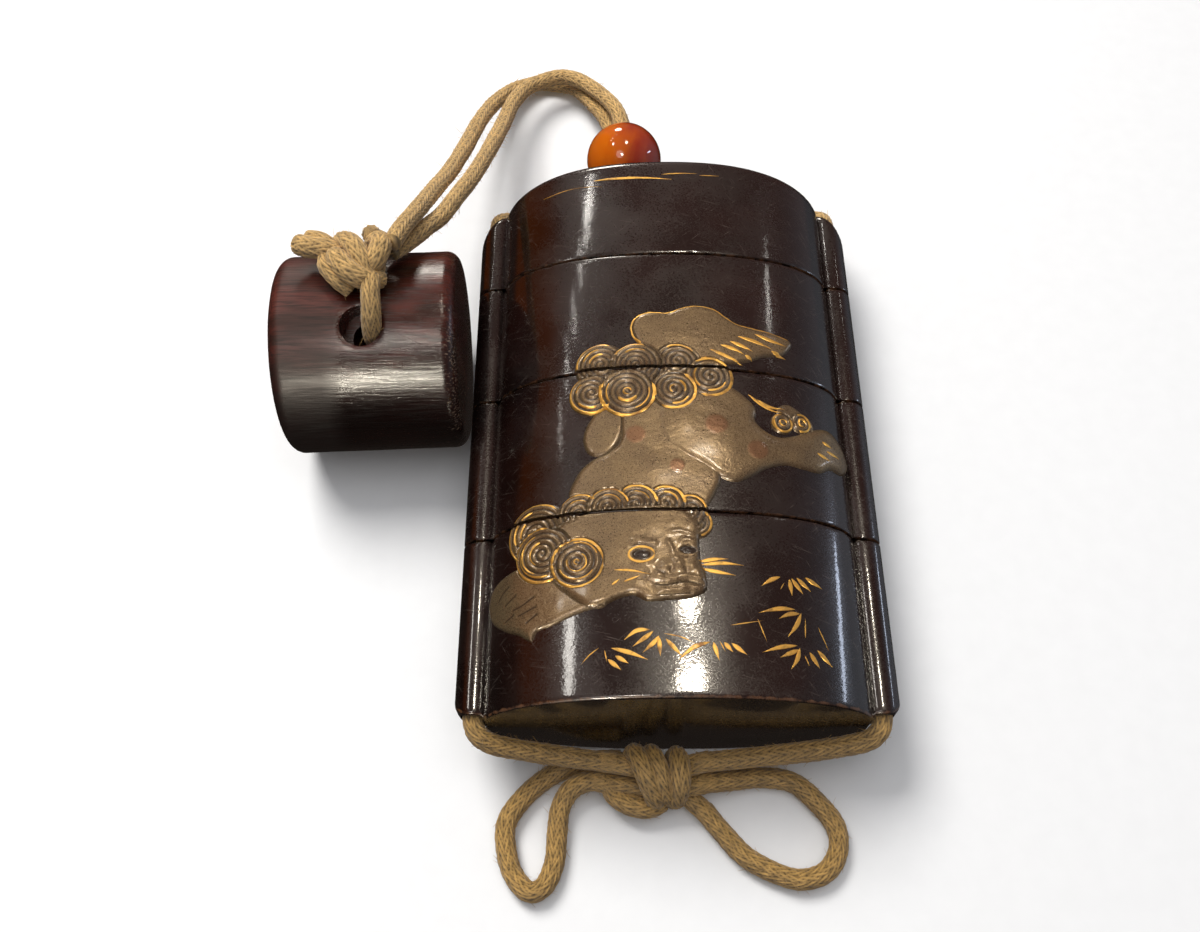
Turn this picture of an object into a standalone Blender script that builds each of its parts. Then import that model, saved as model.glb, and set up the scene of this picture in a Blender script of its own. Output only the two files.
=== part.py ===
"""Inro: a small stacked lacquer case on a silk cord, with its bead and its netsuke toggle.

The case lies on its back with its length along Y, its width along X and its painted front up.
Its lid is at +Y. The origin is on the small flat of the back, at half the length of the case.
Three cases and a lid stack along Y: each case ends in a thin riser that enters the piece above.
The cord runs down a channel in the left edge, across the lower end to a bow, and up the right
edge. Both strands then pass through the bead to the knot on the netsuke.
"""

import math

import bmesh
import bpy
from mathutils import Matrix, Vector

MM = 0.001
GAP = 0.3 * MM

# Outline of the stacked case
LID_HEIGHT = 18.5 * MM
UPPER_CASE_HEIGHT = 19.9 * MM
MIDDLE_CASE_HEIGHT = 21.75 * MM
LOWER_CASE_HEIGHT = 24.5 * MM
BODY_HALF_WIDTH = 24.4 * MM
BODY_HALF_DEPTH = 10.84 * MM
BODY_ROUNDNESS = 2.2
BACK_FLAT_HALF_WIDTH = 4.5 * MM
RUNNER_OFFSET = 1.2 * MM
RUNNER_RADIUS = 2.4 * MM
SEAM_EDGE = 0.2 * MM

# Ends of the stacked case
LID_CROWN = 11.0 * MM
LID_CROWN_ROUNDNESS = 3.0
LID_SHOULDER = 1.6 * MM
FOOT_EDGE = 0.5 * MM
RUNNER_FOOT_STEP = 0.7 * MM
RUNNER_FOOT_BLEND = 0.8 * MM
RUNNER_FOOT_CORNER = 2.2 * MM

# Walls, risers and cord channels
FRONT_WALL = 2.1 * MM
SIDE_WALL = 2.8 * MM
RISER_WALL = 0.9 * MM
RISER_HEIGHT = 5.0 * MM
FLOOR_THICKNESS = 1.6 * MM
FOOT_THICKNESS = 2.4 * MM
LID_ROOF = 2.2 * MM
CORD_DIAMETER = 2.6 * MM
MOUTH_RADIUS = 2.2 * MM
MOUTH_SHIFT = 0.6 * MM

# Netsuke and bead
NETSUKE_LENGTH = 26.0 * MM
NETSUKE_RADIUS = 14.1 * MM
NETSUKE_EDGE = 1.8 * MM
NETSUKE_DOME = 0.4 * MM
NETSUKE_FLAT_HALF_WIDTH = 2.4 * MM
NETSUKE_SIDE_GAP = 0.9 * MM
NETSUKE_ALONG_CASE = 12.0 * MM
NETSUKE_YAW = math.radians(2.3)
TUNNEL_RADIUS = 2.1 * MM
FRONT_HOLE_RADIUS = 2.9 * MM
FRONT_HOLE_DEPTH = 4.0 * MM
FRONT_HOLE_SIDE = 0.3 * MM
TUNNEL_SIDE = 0.7 * MM
FRONT_HOLE_ANGLE = math.radians(-19.3)
REAR_HOLE_ANGLE = math.radians(38.0)
BEAD_RADIUS = 6.2 * MM
BEAD_BORE_RADIUS = 3.15 * MM
BEAD_CENTRE_X = -5.7 * MM
BEAD_TO_LID = 7.8 * MM
BEAD_YAW = math.radians(9.0)

# Colours, as linear red, green and blue, and roughness
LACQUER = ((0.018, 0.009, 0.010), 0.22)
NETSUKE_WOOD = ((0.055, 0.016, 0.011), 0.35)
AGATE = ((0.55, 0.10, 0.015), 0.15)
SILK_CORD = ((0.38, 0.23, 0.09), 0.80)

# Faceting
BODY_STEPS = 9
RUNNER_STEPS = 5
SHOULDER_STEPS = 3
FOOT_EDGE_STEPS = 2
CHANNEL_SIDES = 12
MOUTH_SIDES = 16
MOUTH_RINGS = 10
NETSUKE_SIDES = 36
NETSUKE_EDGE_STEPS = 4
TUNNEL_STEPS = 28
TUNNEL_SIDES = 10
FRONT_HOLE_SIDES = 20
BEAD_SIDES = 20
BEAD_STEPS = 9
LOBE_SIDES = 12
LOBE_RINGS = 8
CORD_SPACING = 2.4 * CORD_DIAMETER
TIGHT_SPACING = 1.2 * CORD_DIAMETER
CURVE_STEPS = 12
BISECTIONS = 40
SHARP_ANGLE = math.radians(35.0)

# Values that follow from the sizes above
CORD_RADIUS = CORD_DIAMETER / 2
CHANNEL_RADIUS = CORD_RADIUS + GAP
CASE_LENGTH = LID_HEIGHT + UPPER_CASE_HEIGHT + MIDDLE_CASE_HEIGHT + LOWER_CASE_HEIGHT
TOP_Y = CASE_LENGTH / 2
FOOT_Y = -CASE_LENGTH / 2
LOWER_SEAM_Y = FOOT_Y + LOWER_CASE_HEIGHT
MIDDLE_SEAM_Y = LOWER_SEAM_Y + MIDDLE_CASE_HEIGHT
UPPER_SEAM_Y = MIDDLE_SEAM_Y + UPPER_CASE_HEIGHT
RUNNER_X = BODY_HALF_WIDTH + RUNNER_OFFSET
HALF_WIDTH = RUNNER_X + RUNNER_RADIUS


def superellipse_depth(x, half_width, half_depth):
    """Half the thickness of a superellipse section at x."""
    share = min(1.0, abs(x) / half_width)
    return half_depth * (1.0 - share**BODY_ROUNDNESS) ** (1.0 / BODY_ROUNDNESS)


MID_Z = superellipse_depth(BACK_FLAT_HALF_WIDTH, BODY_HALF_WIDTH, BODY_HALF_DEPTH)


def superellipse_angle(x, half_width):
    """Parameter t at which half_width * sin(t)^(2 / roundness) is x."""
    return math.asin(min(1.0, (x / half_width) ** (BODY_ROUNDNESS / 2)))


def crease_x(half_width, half_depth, runner_radius):
    """Width at which the lens of the body meets the round cord runner, by bisection."""
    low = RUNNER_X - runner_radius
    high = half_width
    for _ in range(BISECTIONS):
        x = (low + high) / 2
        runner = math.sqrt(max(0.0, runner_radius**2 - (x - RUNNER_X) ** 2))
        if superellipse_depth(x, half_width, half_depth) > runner:
            low = x
        else:
            high = x
    return (low + high) / 2


def quarter_angles(half_width, crease):
    """Parameters from the middle of the front to the crease, then on to the side."""
    first = superellipse_angle(BACK_FLAT_HALF_WIDTH, BODY_HALF_WIDTH)
    last = superellipse_angle(crease, half_width)
    angles = [0.0]
    for step in range(BODY_STEPS):
        angles.append(first + (last - first) * step / (BODY_STEPS - 1))
    for step in range(1, RUNNER_STEPS + 1):
        angles.append(last + (math.pi / 2 - last) * step / RUNNER_STEPS)
    return angles


def superellipse_point(angle, half_width, half_depth):
    """Point of a superellipse section at a parameter, from the middle of the front."""
    power = 2.0 / BODY_ROUNDNESS
    return half_width * math.sin(angle) ** power, half_depth * max(0.0, math.cos(angle)) ** power


def mirrored_ring(quarter, back_limit=None):
    """A closed section from its front right quarter, with the back cut flat at back_limit."""
    back = [(x, -z if back_limit is None else -min(z, back_limit)) for x, z in quarter]
    ring = list(quarter)
    ring += back[-2::-1]
    ring += [(-x, z) for x, z in back[1:]]
    ring += [(-x, z) for x, z in quarter[-2:0:-1]]
    return ring


def outer_ring(inset=0.0):
    """Outer section: the lens of the body, and half-round cord runners at its sides."""
    half_width = BODY_HALF_WIDTH - inset
    half_depth = BODY_HALF_DEPTH - inset
    runner_radius = RUNNER_RADIUS - inset
    crease = crease_x(half_width, half_depth, runner_radius)
    angles = quarter_angles(half_width, crease)
    quarter = [superellipse_point(t, half_width, half_depth) for t in angles[: BODY_STEPS + 1]]
    start = math.acos((crease - RUNNER_X) / runner_radius)
    for step in range(1, RUNNER_STEPS + 1):
        turn = start * (1.0 - step / RUNNER_STEPS)
        quarter.append((RUNNER_X + runner_radius * math.cos(turn), runner_radius * math.sin(turn)))
    return mirrored_ring(quarter, MID_Z - inset)


def inner_ring(side, front):
    """Plain lens section, side and front in from the outer lens."""
    half_width = BODY_HALF_WIDTH - side
    half_depth = BODY_HALF_DEPTH - front
    crease = crease_x(BODY_HALF_WIDTH, BODY_HALF_DEPTH, RUNNER_RADIUS)
    angles = quarter_angles(BODY_HALF_WIDTH, crease)
    return mirrored_ring([superellipse_point(t, half_width, half_depth) for t in angles])


def cavity_ring():
    """Section of the hollow inside a case."""
    return inner_ring(SIDE_WALL, FRONT_WALL)


def riser_ring():
    """Outside of the thin riser that a case shows to the piece above."""
    return inner_ring(SIDE_WALL - RISER_WALL, FRONT_WALL - RISER_WALL)


def recess_ring():
    """Section of the recess that takes the riser of the piece below."""
    return inner_ring(SIDE_WALL - RISER_WALL - GAP, FRONT_WALL - RISER_WALL - GAP)


def lid_crown(x):
    """How far the arched end of the lid falls below its middle at x."""
    share = min(1.0, abs(x) / HALF_WIDTH)
    return LID_CROWN * (1.0 - (1.0 - share**LID_CROWN_ROUNDNESS) ** (1.0 / LID_CROWN_ROUNDNESS))


def foot_rise(x):
    """How far the foot end rises at x: a step to the runner, and the runner's round corner."""
    crease = crease_x(BODY_HALF_WIDTH, BODY_HALF_DEPTH, RUNNER_RADIUS)
    share = min(1.0, max(0.0, (abs(x) - crease) / RUNNER_FOOT_BLEND + 0.5))
    step = RUNNER_FOOT_STEP * share * share * (3.0 - 2.0 * share)
    beyond = max(0.0, abs(x) - (HALF_WIDTH - RUNNER_FOOT_CORNER))
    corner = RUNNER_FOOT_CORNER - math.sqrt(max(0.0, RUNNER_FOOT_CORNER**2 - beyond**2))
    return step + corner


def material(name, look):
    """A plain material from its colour and roughness."""
    colour, roughness = look
    made = bpy.data.materials.new(name)
    made.use_nodes = True
    shader = made.node_tree.nodes["Principled BSDF"]
    shader.inputs["Base Color"].default_value = (*colour, 1.0)
    shader.inputs["Roughness"].default_value = roughness
    made.diffuse_color = (*colour, 1.0)
    return made


def add_object(name, mesh, surface):
    """Put a mesh or a curve into the scene under its name, with its material."""
    made = bpy.data.objects.new(name, mesh)
    made.data.materials.append(surface)
    bpy.context.scene.collection.objects.link(made)
    return made


def finish_mesh(shape, name):
    """Turn a bmesh into a mesh with its faces pointing out and its round sides smooth."""
    bmesh.ops.recalc_face_normals(shape, faces=shape.faces)
    mesh = bpy.data.meshes.new(name)
    shape.to_mesh(mesh)
    shape.free()
    mesh.shade_smooth()
    mesh.set_sharp_from_angle(angle=SHARP_ANGLE)
    return mesh


def hide_tool(tool):
    """Keep a cutting tool out of the built part."""
    tool.hide_render = True
    tool.display_type = "WIRE"
    return tool


def boolean(target, tool, operation):
    """Cut a tool out of a piece, or join it on."""
    change = target.modifiers.new(f"{operation.lower()} {tool.name}", "BOOLEAN")
    change.operation = operation
    change.solver = "EXACT"
    change.object = tool


def place_ring(shape, ring, y_at):
    """Vertices of a section ring, where y_at gives the place along the case for each x."""
    return [shape.verts.new((x, y_at(x), z + MID_Z)) for x, z in ring]


def join_rings(shape, rings):
    """Faces between each ring and the next."""
    for below, above in zip(rings, rings[1:]):
        for i in range(len(below)):
            j = (i + 1) % len(below)
            shape.faces.new((below[i], below[j], above[j], above[i]))


def end_columns(ring):
    """Pairs of front and back vertices across a ring, from its left side to its right."""
    count = len(ring)
    half = count // 4
    return [(ring[s % count], ring[(2 * half - s) % count]) for s in range(-half, half + 1)]


def close_end(shape, ring, edge, edge_steps, towards):
    """Close a ring with a face whose rim is rounded by edge; towards is +1 or -1 along Y."""
    columns = []
    for front, back in end_columns(ring):
        if front is back:
            columns.append([front] * (2 * edge_steps + 2))
            continue
        reach = min(edge, (front.co.z - back.co.z) / 2)
        near = []
        far = []
        for step in range(1, edge_steps + 1):
            turn = math.pi / 2 * step / edge_steps
            y = front.co.y + towards * reach * math.sin(turn)
            inward = reach * (1.0 - math.cos(turn))
            near.append(shape.verts.new((front.co.x, y, front.co.z - inward)))
            far.append(shape.verts.new((front.co.x, y, back.co.z + inward)))
        columns.append([front] + near + far[::-1] + [back])
    for left, right in zip(columns, columns[1:]):
        for j in range(len(left) - 1):
            corners = dict.fromkeys((left[j], left[j + 1], right[j + 1], right[j]))
            if len(corners) > 2:
                shape.faces.new(list(corners))


def edge_reach(ring, edge):
    """The rounding that the thickness at each x of the ring allows, by x."""
    depth = {}
    for x, z in ring:
        depth.setdefault(round(x, 9), []).append(z)
    return {x: min(edge, (max(zs) - min(zs)) / 2) for x, zs in depth.items()}


def wall_rings(shape, low_y, high_y):
    """The outer wall between two seams, with its edges broken."""
    broken = outer_ring(SEAM_EDGE)
    full = outer_ring()
    return [
        place_ring(shape, broken, lambda x: low_y),
        place_ring(shape, full, lambda x: low_y + SEAM_EDGE),
        place_ring(shape, full, lambda x: high_y - SEAM_EDGE),
        place_ring(shape, broken, lambda x: high_y),
    ]


def riser_rings(shape, seam_y, floor_y):
    """The riser above a seam and the hollow inside it, down to the floor."""
    top = seam_y + RISER_HEIGHT
    return [
        place_ring(shape, riser_ring(), lambda x: seam_y),
        place_ring(shape, riser_ring(), lambda x: top),
        place_ring(shape, cavity_ring(), lambda x: top),
        place_ring(shape, cavity_ring(), lambda x: floor_y),
    ]


def stacked_case(name, low_seam, high_seam, surface):
    """A case that takes the riser of the piece below and gives its own to the piece above."""
    shape = bmesh.new()
    low = low_seam + GAP / 2
    high = high_seam - GAP / 2
    underside = low + RISER_HEIGHT
    rings = [
        place_ring(shape, recess_ring(), lambda x: underside),
        place_ring(shape, recess_ring(), lambda x: low),
    ]
    rings += wall_rings(shape, low, high)
    rings += riser_rings(shape, high, underside + FLOOR_THICKNESS)
    join_rings(shape, rings)
    shape.faces.new(rings[0])
    shape.faces.new(rings[-1])
    return add_object(name, finish_mesh(shape, name), surface)


def lower_case(surface):
    """The lowest case, closed by the foot that the stack stands on when it hangs or is held."""
    shape = bmesh.new()
    high = LOWER_SEAM_Y - GAP / 2
    ring = outer_ring()
    reach = edge_reach(ring, FOOT_EDGE)
    rings = [
        place_ring(shape, ring, lambda x: FOOT_Y + foot_rise(x) + reach[round(x, 9)]),
        place_ring(shape, ring, lambda x: high - SEAM_EDGE),
        place_ring(shape, outer_ring(SEAM_EDGE), lambda x: high),
    ]
    rings += riser_rings(shape, high, FOOT_Y + FOOT_THICKNESS)
    join_rings(shape, rings)
    close_end(shape, rings[0], FOOT_EDGE, FOOT_EDGE_STEPS, -1)
    shape.faces.new(rings[-1])
    return add_object("lower_case", finish_mesh(shape, "lower_case"), surface)


def lid(surface):
    """The lid, with an arched end, soft shoulders and a hollow that follows the arch."""
    shape = bmesh.new()
    low = UPPER_SEAM_Y + GAP / 2
    ring = outer_ring()
    reach = edge_reach(ring, LID_SHOULDER)
    roof = TOP_Y - LID_ROOF
    rings = [
        place_ring(shape, recess_ring(), lambda x: roof - lid_crown(x)),
        place_ring(shape, recess_ring(), lambda x: low),
        place_ring(shape, outer_ring(SEAM_EDGE), lambda x: low),
        place_ring(shape, ring, lambda x: low + SEAM_EDGE),
        place_ring(shape, ring, lambda x: TOP_Y - lid_crown(x) - reach[round(x, 9)]),
    ]
    join_rings(shape, rings)
    close_end(shape, rings[-1], LID_SHOULDER, SHOULDER_STEPS, 1)
    close_end(shape, rings[0], 0.0, 0, 1)
    return add_object("lid", finish_mesh(shape, "lid"), surface)


def rod_tool(name, centre, direction, radius, length, sides):
    """A closed rod used to drill a hole."""
    shape = bmesh.new()
    bmesh.ops.create_cone(
        shape, cap_ends=True, segments=sides, radius1=radius, radius2=radius, depth=length
    )
    turn = Vector((0, 0, 1)).rotation_difference(Vector(direction)).to_matrix().to_4x4()
    bmesh.ops.transform(shape, matrix=Matrix.Translation(centre) @ turn, verts=shape.verts)
    mesh = bpy.data.meshes.new(name)
    shape.to_mesh(mesh)
    shape.free()
    tool = bpy.data.objects.new(name, mesh)
    bpy.context.scene.collection.objects.link(tool)
    return hide_tool(tool)


def torus_tool(name, centre, major, minor, sides, minor_sides):
    """A closed ring in a plane across X, used to carve a curved tunnel."""
    shape = bmesh.new()
    rows = []
    for i in range(sides):
        around = 2 * math.pi * i / sides
        out = Vector((0, math.cos(around), math.sin(around)))
        row = []
        for j in range(minor_sides):
            turn = 2 * math.pi * j / minor_sides
            offset = out * (major + minor * math.cos(turn)) + Vector((minor * math.sin(turn), 0, 0))
            row.append(shape.verts.new(Vector(centre) + offset))
        rows.append(row)
    join_rings(shape, rows + [rows[0]])
    tool = bpy.data.objects.new(name, finish_mesh(shape, name))
    bpy.context.scene.collection.objects.link(tool)
    return hide_tool(tool)


def ball_tool(name, centre, radius):
    """A closed ball used to ease the mouth of a hole."""
    shape = bmesh.new()
    bmesh.ops.create_uvsphere(
        shape, u_segments=MOUTH_SIDES, v_segments=MOUTH_RINGS, radius=radius
    )
    bmesh.ops.transform(shape, matrix=Matrix.Translation(centre), verts=shape.verts)
    tool = bpy.data.objects.new(name, finish_mesh(shape, name))
    bpy.context.scene.collection.objects.link(tool)
    return hide_tool(tool)


def drill_channels(pieces):
    """Cut the two cord channels through the stack, and ease their mouths in the lid, the first."""
    for side, word in ((-1, "left"), (1, "right")):
        centre = (side * RUNNER_X, 0, MID_Z)
        length = CASE_LENGTH + 4 * RUNNER_RADIUS
        direction = (0, 1, 0)
        tool = rod_tool(f"channel_{word}", centre, direction, CHANNEL_RADIUS, length, CHANNEL_SIDES)
        for piece in pieces:
            boolean(piece, tool, "DIFFERENCE")
        mouth_centre = (side * (RUNNER_X - MOUTH_SHIFT), TOP_Y - lid_crown(RUNNER_X), MID_Z)
        boolean(pieces[0], ball_tool(f"mouth_{word}", mouth_centre, MOUTH_RADIUS), "DIFFERENCE")


def turned_mesh(name, profile, segments, closed_profile):
    """A body turned about X from (along, radius) points; a radius of 0 makes a pole."""
    shape = bmesh.new()
    rings = []
    for along, radius in profile:
        if radius <= 0.0:
            rings.append([shape.verts.new((along, 0, 0))] * segments)
            continue
        ring = []
        for i in range(segments):
            turn = 2 * math.pi * i / segments
            ring.append(shape.verts.new((along, radius * math.sin(turn), radius * math.cos(turn))))
        rings.append(ring)
    if closed_profile:
        rings.append(rings[0])
    for one, other in zip(rings, rings[1:]):
        for i in range(segments):
            j = (i + 1) % segments
            corners = dict.fromkeys((one[i], one[j], other[j], other[i]))
            shape.faces.new(list(corners))
    return finish_mesh(shape, name)


def netsuke_profile():
    """Half section of the netsuke: slightly domed ends and round edges."""
    half = NETSUKE_LENGTH / 2
    rim = NETSUKE_RADIUS - NETSUKE_EDGE
    points = [(half, 0.0), (half - NETSUKE_DOME / 4, rim / 2)]
    for step in range(NETSUKE_EDGE_STEPS + 1):
        turn = math.pi / 2 * step / NETSUKE_EDGE_STEPS
        along = half - NETSUKE_DOME - NETSUKE_EDGE * (1 - math.cos(turn))
        points.append((along, rim + NETSUKE_EDGE * math.sin(turn)))
    return points + [(-along, radius) for along, radius in reversed(points)]


def netsuke(surface):
    """The toggle: a short round block lying on a small flat, with a curved cord tunnel."""
    flat_drop = NETSUKE_RADIUS - math.sqrt(NETSUKE_RADIUS**2 - NETSUKE_FLAT_HALF_WIDTH**2)
    axis_z = NETSUKE_RADIUS - flat_drop
    centre_x = -HALF_WIDTH - NETSUKE_SIDE_GAP - NETSUKE_LENGTH / 2
    mesh = turned_mesh("netsuke", netsuke_profile(), NETSUKE_SIDES, False)
    place = Matrix.Translation((centre_x, NETSUKE_ALONG_CASE, axis_z))
    mesh.transform(place @ Matrix.Rotation(NETSUKE_YAW, 4, "Z"))
    for vertex in mesh.vertices:
        vertex.co.z = max(0.0, vertex.co.z)
    block = add_object("netsuke", mesh, surface)

    def rim_point(angle):
        y = NETSUKE_ALONG_CASE + NETSUKE_RADIUS * math.sin(angle)
        return Vector((centre_x + TUNNEL_SIDE, y, axis_z + NETSUKE_RADIUS * math.cos(angle)))

    front = rim_point(FRONT_HOLE_ANGLE)
    rear = rim_point(REAR_HOLE_ANGLE)
    middle = (front + rear) / 2
    bend = (front - rear).length / 2
    tunnel = torus_tool("tunnel", middle, bend, TUNNEL_RADIUS, TUNNEL_STEPS, TUNNEL_SIDES)
    outward = Vector((0, math.sin(FRONT_HOLE_ANGLE), math.cos(FRONT_HOLE_ANGLE)))
    mouth_centre = front + Vector((FRONT_HOLE_SIDE - TUNNEL_SIDE, 0, 0))
    length = 2 * FRONT_HOLE_DEPTH
    mouth = rod_tool(
        "front_hole", mouth_centre, outward, FRONT_HOLE_RADIUS, length, FRONT_HOLE_SIDES
    )
    boolean(block, tunnel, "DIFFERENCE")
    boolean(block, mouth, "DIFFERENCE")
    return block


def bead(surface):
    """The round bead that both cord strands pass through."""
    start = math.asin(BEAD_BORE_RADIUS / BEAD_RADIUS)
    profile = []
    for step in range(BEAD_STEPS + 1):
        turn = start + (math.pi - 2 * start) * step / BEAD_STEPS
        profile.append((BEAD_RADIUS * math.cos(turn), BEAD_RADIUS * math.sin(turn)))
    mesh = turned_mesh("bead", profile, BEAD_SIDES, True)
    centre = (BEAD_CENTRE_X, TOP_Y + BEAD_TO_LID + BEAD_RADIUS, BEAD_RADIUS)
    mesh.transform(Matrix.Translation(centre) @ Matrix.Rotation(math.pi / 2 + BEAD_YAW, 4, "Z"))
    return add_object("bead", mesh, surface)


# Cord routes, in millimetres, each a list of points chosen along the way the cord lies
LEFT_FROM_KNOT = [
    (-37.4, 17.6, 31.8), (-36.6, 21.8, 30.0), (-35.3, 29.3, 25.7), (-34.1, 36.6, 21.5),
    (-32.9, 43.6, 17.5), (-31.5, 52.3, 13.5), (-29.9, 62.3, 9.5), (-28.0, 70.1, 6.0),
    (-25.3, 75.7, 3.4), (-21.3, 79.0, 1.9), (-17.7, 79.1, 1.5), (-14.6, 77.8, 2.0),
    (-11.7, 73.4, 3.4), (-9.1, 67.9, 4.7), (-7.7, 63.4, 4.95), (-6.5, 56.3, 4.95),
    (-5.4, 49.3, 4.9), (-7.0, 46.6, 4.6), (-10.5, 45.2, 4.3), (-15.0, 44.5, 4.2),
    (-19.3, 43.9, 4.8), (-22.9, 42.8, 6.5), (-24.9, 41.0, 8.7), (-25.6, 39.2, 10.2),
    (-25.7, 37.0, 10.7),
]
LEFT_TO_BOW = [
    (-25.6, -39.5, 10.7), (-25.6, -41.8, 10.6), (-25.0, -43.2, 10.0), (-23.5, -44.0, 8.9),
    (-21.2, -44.3, 7.8), (-16.5, -44.7, 6.4), (-11.4, -45.2, 5.6), (-7.6, -45.6, 5.5),
]
RIGHT_FROM_KNOT = [
    (-38.0, 18.6, 28.6), (-36.2, 22.2, 26.6), (-34.4, 26.2, 24.7), (-32.7, 30.0, 22.8),
    (-30.9, 36.0, 20.5), (-29.4, 41.7, 18.0), (-28.0, 48.7, 15.0), (-26.8, 55.9, 12.0),
    (-25.8, 62.3, 9.4), (-24.7, 68.6, 7.4), (-22.7, 73.4, 6.0), (-19.8, 76.1, 5.2),
    (-16.4, 77.3, 5.0), (-13.3, 75.7, 5.6), (-10.2, 72.0, 6.6), (-7.4, 67.3, 7.7),
    (-6.0, 63.4, 7.45), (-4.9, 56.3, 7.45), (-3.8, 49.3, 7.4), (-2.0, 46.8, 7.0),
    (2.0, 45.5, 6.3), (7.5, 45.0, 5.2), (13.0, 44.6, 4.6), (18.0, 43.9, 4.8),
    (22.9, 42.8, 6.5), (24.9, 41.0, 8.7), (25.6, 39.2, 10.2), (25.7, 37.0, 10.7),
]
RIGHT_TO_BOW = [
    (25.6, -39.5, 10.7), (25.6, -41.8, 10.6), (25.0, -43.2, 10.0), (23.3, -44.0, 9.0),
    (18.6, -44.4, 7.2), (12.9, -44.7, 5.8), (7.1, -45.1, 5.1), (2.6, -45.5, 5.0),
]
THROUGH_NETSUKE = [
    (-39.9, 10.6, 30.9), (-39.8, 8.4, 29.7), (-40.0, 7.3, 27.5), (-40.3, 7.4, 24.8),
    (-40.6, 8.6, 22.2), (-40.9, 10.6, 20.3), (-40.9, 13.0, 19.5), (-40.9, 15.6, 19.6),
    (-40.9, 18.0, 20.7), (-40.9, 19.8, 22.7), (-40.9, 20.8, 25.3), (-40.8, 21.2, 28.3),
]
BOW_LOOP_LEFT = [
    (-9.0, -47.3, 3.2), (-10.7, -47.2, 3.0), (-13.3, -48.1, 2.6), (-14.8, -50.4, 1.9),
    (-15.2, -53.4, 1.5), (-15.5, -57.1, 1.4), (-16.7, -59.9, 1.4), (-18.6, -60.6, 1.4),
    (-20.6, -58.6, 1.4), (-21.6, -55.7, 1.4), (-21.7, -52.2, 1.4), (-19.7, -49.1, 1.4),
    (-17.0, -46.7, 1.4), (-14.0, -45.1, 1.4), (-10.5, -44.2, 1.4), (-7.0, -44.1, 1.4),
]
BOW_LOOP_RIGHT = [
    (2.6, -47.6, 2.9), (7.2, -47.0, 2.0), (11.2, -46.5, 1.5), (15.2, -47.1, 1.4),
    (18.1, -49.6, 1.4), (20.2, -52.6, 1.4), (20.3, -55.7, 1.4), (18.5, -58.3, 1.4),
    (15.3, -59.2, 1.4), (12.0, -58.3, 1.4), (8.6, -56.4, 1.4), (5.8, -53.4, 1.4),
    (3.5, -50.5, 1.4),
]

# Lobes of the two knots, in millimetres: centre, then half sizes
NETSUKE_KNOT_LOBES = [
    ((-40.6, 17.0, 30.0), (2.0, 2.0, 2.0)),
    ((-42.1, 13.4, 30.7), (2.9, 2.5, 2.1)),
    ((-43.9, 17.7, 29.8), (2.4, 2.1, 2.1)),
    ((-47.2, 17.4, 29.7), (2.6, 1.9, 1.7)),
    ((-50.0, 18.3, 29.8), (1.8, 1.9, 1.5)),
]
BOW_KNOT_LOBES = [
    ((-3.5, -47.1, 3.7), (2.5, 3.1, 3.4)),
    ((0.1, -47.0, 3.6), (1.7, 3.0, 3.3)),
    ((-6.0, -48.8, 2.3), (2.6, 1.8, 1.9)),
]


def smooth_route(route, spacing):
    """Points at even steps along a smooth curve through a route."""
    points = [Vector(point) * MM for point in route]
    before = [2 * points[0] - points[1]] + points + [2 * points[-1] - points[-2]]
    dense = []
    for p0, p1, p2, p3 in zip(before, before[1:], before[2:], before[3:]):
        for step in range(CURVE_STEPS):
            t = step / CURVE_STEPS
            dense.append(
                0.5
                * (
                    2 * p1
                    + (p2 - p0) * t
                    + (2 * p0 - 5 * p1 + 4 * p2 - p3) * t**2
                    + (3 * p1 - p0 - 3 * p2 + p3) * t**3
                )
            )
    dense.append(points[-1])
    reach = [0.0]
    for one, other in zip(dense, dense[1:]):
        reach.append(reach[-1] + (other - one).length)
    count = max(2, round(reach[-1] / spacing))
    even = []
    at = 0
    for step in range(count + 1):
        wanted = reach[-1] * step / count
        while at < len(reach) - 2 and reach[at + 1] < wanted:
            at += 1
        share = (wanted - reach[at]) / (reach[at + 1] - reach[at])
        even.append(dense[at].lerp(dense[at + 1], min(1.0, share)))
    return even


def cord(name, points, surface):
    """A plain tube along the given points."""
    curve = bpy.data.curves.new(name, "CURVE")
    curve.dimensions = "3D"
    curve.bevel_depth = CORD_RADIUS
    curve.bevel_resolution = 2
    curve.use_fill_caps = True
    spline = curve.splines.new("POLY")
    spline.points.add(len(points) - 1)
    for point, place in zip(spline.points, points):
        point.co = (*place, 1.0)
    return add_object(name, curve, surface)


def lobe_mesh(name, centre, half_sizes):
    """One rounded lobe of a knot."""
    shape = bmesh.new()
    bmesh.ops.create_uvsphere(shape, u_segments=LOBE_SIDES, v_segments=LOBE_RINGS, radius=1.0)
    size = Matrix.Diagonal((*(half * MM for half in half_sizes), 1.0))
    place = Matrix.Translation(Vector(centre) * MM)
    bmesh.ops.transform(shape, matrix=place @ size, verts=shape.verts)
    return finish_mesh(shape, name)


def knot(name, lobes, surface):
    """A knot as rounded lobes joined into one body."""
    made = add_object(name, lobe_mesh(name, *lobes[0]), surface)
    for number, (centre, half_sizes) in enumerate(lobes[1:], 1):
        tool_name = f"{name}_lobe_{number}"
        tool = bpy.data.objects.new(tool_name, lobe_mesh(tool_name, centre, half_sizes))
        bpy.context.scene.collection.objects.link(tool)
        boolean(made, hide_tool(tool), "UNION")
    return made


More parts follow.
